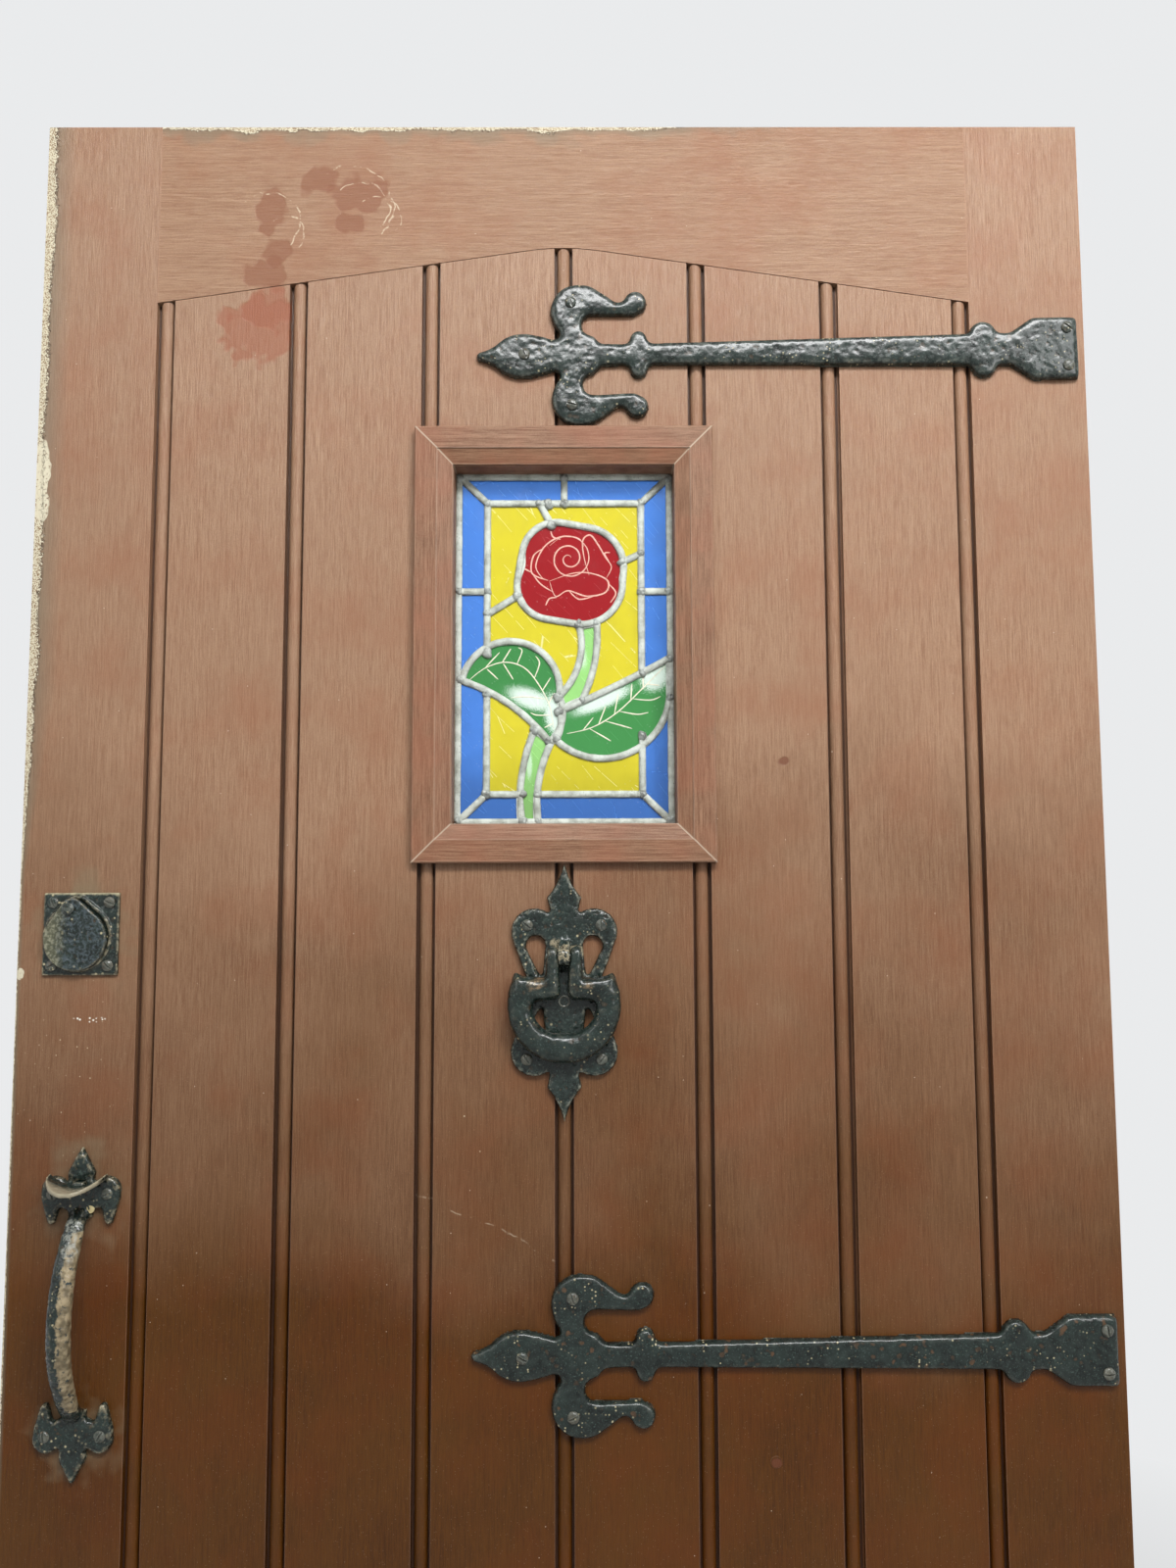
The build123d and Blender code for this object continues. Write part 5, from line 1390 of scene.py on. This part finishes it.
def blob(x, z, size, face, side, seed):
    """Points and faces of one blob of solder."""
    points = []
    around = 16
    for share, height in ((1.0, -0.1), (0.9, 0.5), (0.62, 0.86), (0.3, 1.0)):
        for k in range(around):
            turn = 2 * pi * k / around
            wander = noise.noise(Vector((cos(turn) * 1.3 + seed, sin(turn) * 1.3, seed * 0.7)))
            reach = size * share * (1 + 0.42 * wander)
            lift = 1 + 0.5 * noise.noise(Vector((cos(turn) * share * 2 + seed, sin(turn) * share * 2, 5)))
            y = face + side * SOLDER_RISE * height * lift
            points.append((x + reach * cos(turn), y, z + reach * sin(turn)))
    points.append((x, face + side * SOLDER_RISE, z))
    top = 3 * around
    cap = [(top + k, top + (k + 1) % around, 4 * around) for k in range(around)]
    return points, facing(round_rows(4, around) + cap, side)


joints = [point for row in drawing(SOLDER_JOINTS) for point in row]
for title, face, side in PANEL_FACES:
    blobs = [blob(x, z, 0.0037 + 0.0007 * sin(number * 2.3), face, side, number * 3.1)
             for number, (x, z) in enumerate(joints)]
    piece("solder_" + title, *joined(blobs), "leaf", "lead", solder)
print("solder joints:", len(joints))

# %% [markdown]
# The rose's petals and the veins of the leaves are painted lines, fired on to
# the glass. They are thin strips that lie on the glass and taper at both ends.
# The petals are drawn as a plain spiral with a few loose arcs round it.

# %% Painted lines on the glass
GLASS_FRONT, PAINT_RISE = -0.002, 0.0002
PETAL_LINES = """
-3.4 11.2, -4.6 13.4, -3.2 16.6, -0.6 18.2, 2.2 18.0, 3.2 16.6
-2.4 10.9, 1.5 12.2, 4.6 12.1, 7.0 10.9, 6.6 9.0, 3.6 8.4, 0.6 9.3, -1.4 8.4, -2.4 10.9
-2.6 11, -5.2 12.2, -5.0 15.0, -3.6 16.2
-2.2 19.2, -1.8 18.2, -0.6 17.8
4.0 11.9, 3.2 14.8, 3.0 17.6, 4.2 18.5, 5.4 17.0, 6.6 14.9, 7.6 13.2, 6.8 11.4
7.4 15.6, 6.5 15.4, 7.4 13.8
-6.9 13.2, -5.4 12.4
-5.2 12.2, -3.8 10.4, -2.0 9.2
7.2 10.4, 8.3 8.9, 7.4 7.3
-3.0 6.9, -2.4 8.0, -1.2 8.2
0.8 9.2, 2.4 7.9, 4.8 8.4
"""
VEIN_LINES = """
-15.6 -5.6, -12.8 -3.4, -9.6 -2.4, -6.6 -3.2, -4.4 -5.6, -2.4 -9.4, -1.7 -13.4
-12.6 -3.2, -10.4 -0.8
-10 -2.5, -8.6 -0.2
-7.6 -2.7, -6.8 -0.6, -7.4 0
-12.4 -3.5, -10.6 -5.2
-9.8 -2.6, -8.2 -5.2
-4.8 -5, -4.0 -2.6, -4.6 -1.4
-3.5 -7, -2.2 -4.9
-2.6 -9.2, -1.6 -7.4
-2.9 -8.4, -6.0 -8.0, -8.6 -8.2
-2.2 -11, -4.4 -11, -5.4 -10.6
-1.9 -12.4, -3.2 -13
0.4 -14.0, 4.4 -13.0, 8.4 -10.6, 12.6 -6.6, 16.2 -3.0
3.0 -13.4, 4.6 -11.4
5.4 -12.6, 6.6 -9.6
8.0 -10.8, 8.6 -7.6
10.6 -8.8, 10.8 -6.0
12.6 -6.8, 12.6 -4.4
4.0 -13.2, 6.4 -14.6, 7.4 -15.2
6.6 -12.0, 9.4 -12.8, 10.8 -13.2
8.8 -10.4, 11.6 -10.9, 13.4 -10.6
11 -8.4, 13.8 -8.6, 15.4 -8
13.2 -6, 15.2 -6.2
"""


def paint_tone(name, tone):
    """Fired paint: opaque, slightly uneven in tone."""
    material, shader, vector = new_material(name, tone, {"Specular IOR Level": 0.4})
    cloud = cloudy(vector, 400.0, 0.3, 0.7)
    join(blend(cloud, scaled(tone, 0.75), tone), shader.inputs["Base Color"])
    join(ramp(cloud, 0.0, 1.0, 0.6, 0.4), shader.inputs["Roughness"])
    return material


def spline(points, count=10):
    """A smooth line through the points."""
    ends = [points[0]] + list(points) + [points[-1]]
    line = []
    for k in range(1, len(ends) - 2):
        p0, p1, p2, p3 = ends[k - 1], ends[k], ends[k + 1], ends[k + 2]
        for s in range(count):
            t = s / count
            line.append(tuple(
                0.5 * (2 * p1[i] + (p2[i] - p0[i]) * t + (2 * p0[i] - 5 * p1[i] + 4 * p2[i] - p3[i]) * t * t
                       + (3 * p1[i] - p0[i] - 3 * p2[i] + p3[i]) * t ** 3)
                for i in (0, 1)
            ))
    return line + [tuple(points[-1])]


spiral = []
for t in [k * 0.3 for k in range(23)]:
    turn = 2.2 * t + 0.6
    spiral.append(on_window(0.8 + (0.35 + 0.52 * t) * cos(turn), 14.6 + (0.3 + 0.55 * t) * sin(turn)))
petal_lines = [spline(points) for points in [spiral] + drawing(PETAL_LINES)]
vein_lines = [spline(points) for points in drawing(VEIN_LINES)]
petal_paint = paint_tone("Fired paint pink", (0.75, 0.42, 0.34))
vein_paint = paint_tone("Fired paint cream", (0.8, 0.76, 0.6))
strips("petal_lines", petal_lines, 0.0013, PAINT_RISE, GLASS_FRONT, -1, "red_glass", petal_paint, 0.1, True)
strips("vein_lines", vein_lines, 0.0011, PAINT_RISE, GLASS_FRONT, -1, "green_glass", vein_paint, 0.1, True)

# %% [markdown]
# The stage is a plain pale floor with soft light. The lamps stand high in
# front, so that the shadows fall down and the lumps of the iron catch the light.
# Everything else is the even light of a pale room.

# %% Floor
PALE = (0.82, 0.83, 0.84)
FLOOR_RADIUS = 9


def seen_rays(tree):
    """One for what the eye sees, also in a mirror or through glass; zero for light on a surface."""
    path = make(tree, "LightPath")
    indirect = math("MAXIMUM", path["Is Glossy Ray"], path["Is Transmission Ray"])
    return math("MAXIMUM", path["Is Camera Ray"], indirect)


def stage_floor():
    """A wide pale disc just under the door."""
    count = 64
    turns = [2 * pi * k / count for k in range(count)]
    points = [(0, 0, 0)] + [(FLOOR_RADIUS * cos(turn), FLOOR_RADIUS * sin(turn), 0) for turn in turns]
    mesh = bpy.data.meshes.new("floor")
    mesh.from_pydata(points, [], [(0, k + 1, (k + 1) % count + 1) for k in range(count)])
    material, shader, vector = new_material("Pale floor", (0.75, 0.75, 0.74), {"Roughness": 0.8})
    tree = material.node_tree
    join(blend(cloudy(vector, 3.0), (0.74, 0.74, 0.73), (0.77, 0.77, 0.76)), shader.inputs["Base Color"])
    far = make(tree, "VectorMath", {0: vector}, operation="LENGTH")["Value"]
    share = ramp(far, 0.7, 2.6) * seen_rays(tree)
    pale = make(tree, "Emission", {"Color": PALE, "Strength": 1.0})
    mixed = make(tree, "MixShader", {0: share, 1: Value(tree, shader.outputs[0]), 2: pale[0]})
    join(mixed[0], tree.nodes["Material Output"].inputs[0])
    floor = placed("floor", mesh, material)
    floor.location.z = -0.0002
    print("floor:", count, "sides")


stage_floor()

# %% [markdown]
# Area lamps give soft edges to the shadows. The world adds the even light of the
# room, but is seen as near white, also in the glass and the metal.

# %% World and lamps
ROOM_LIGHT = 0.16


def soft_lamp(name, place, aim, width, height, power):
    """A large soft lamp pointed at a place."""
    data = bpy.data.lights.new(name, "AREA")
    data.shape = "RECTANGLE"
    data.size, data.size_y, data.energy = width, height, power
    lamp = bpy.data.objects.new(name, data)
    lamp.location = place
    lamp.rotation_euler = (Vector(aim) - Vector(place)).to_track_quat("-Z", "Y").to_euler()
    bpy.context.scene.collection.objects.link(lamp)


def pale_world():
    """Even pale light; what is seen, mirrored or seen through glass is near white."""
    world = bpy.data.worlds.new("world")
    bpy.context.scene.world = world
    world.use_nodes = True
    tree = world.node_tree
    tree.nodes.clear()
    strength = ramp(seen_rays(tree), 0.0, 1.0, ROOM_LIGHT, 1.0)
    back = make(tree, "Background", {"Color": PALE, "Strength": strength})
    make(tree, "OutputWorld", {0: back[0]})


pale_world()
for lamp in (
    ("overhead", (0.45, -1.65, 3.05), (0.1, 0, 1.6), 1.5, 0.35, 44),
    ("right", (1.3, -1.6, 2.1), (0.2, 0, 1.6), 0.4, 1.2, 13),
    ("wide", (0.4, -2.4, 3.6), (0, 0, 1.3), 2.6, 1.3, 52),
    ("left", (-1.6, -1.9, 2.6), (0, 0, 1.5), 0.5, 1.4, 8),
    ("back", (-0.8, 3.0, 2.6), (0, 0, 1.2), 2.4, 1.6, 60),
):
    soft_lamp(*lamp)
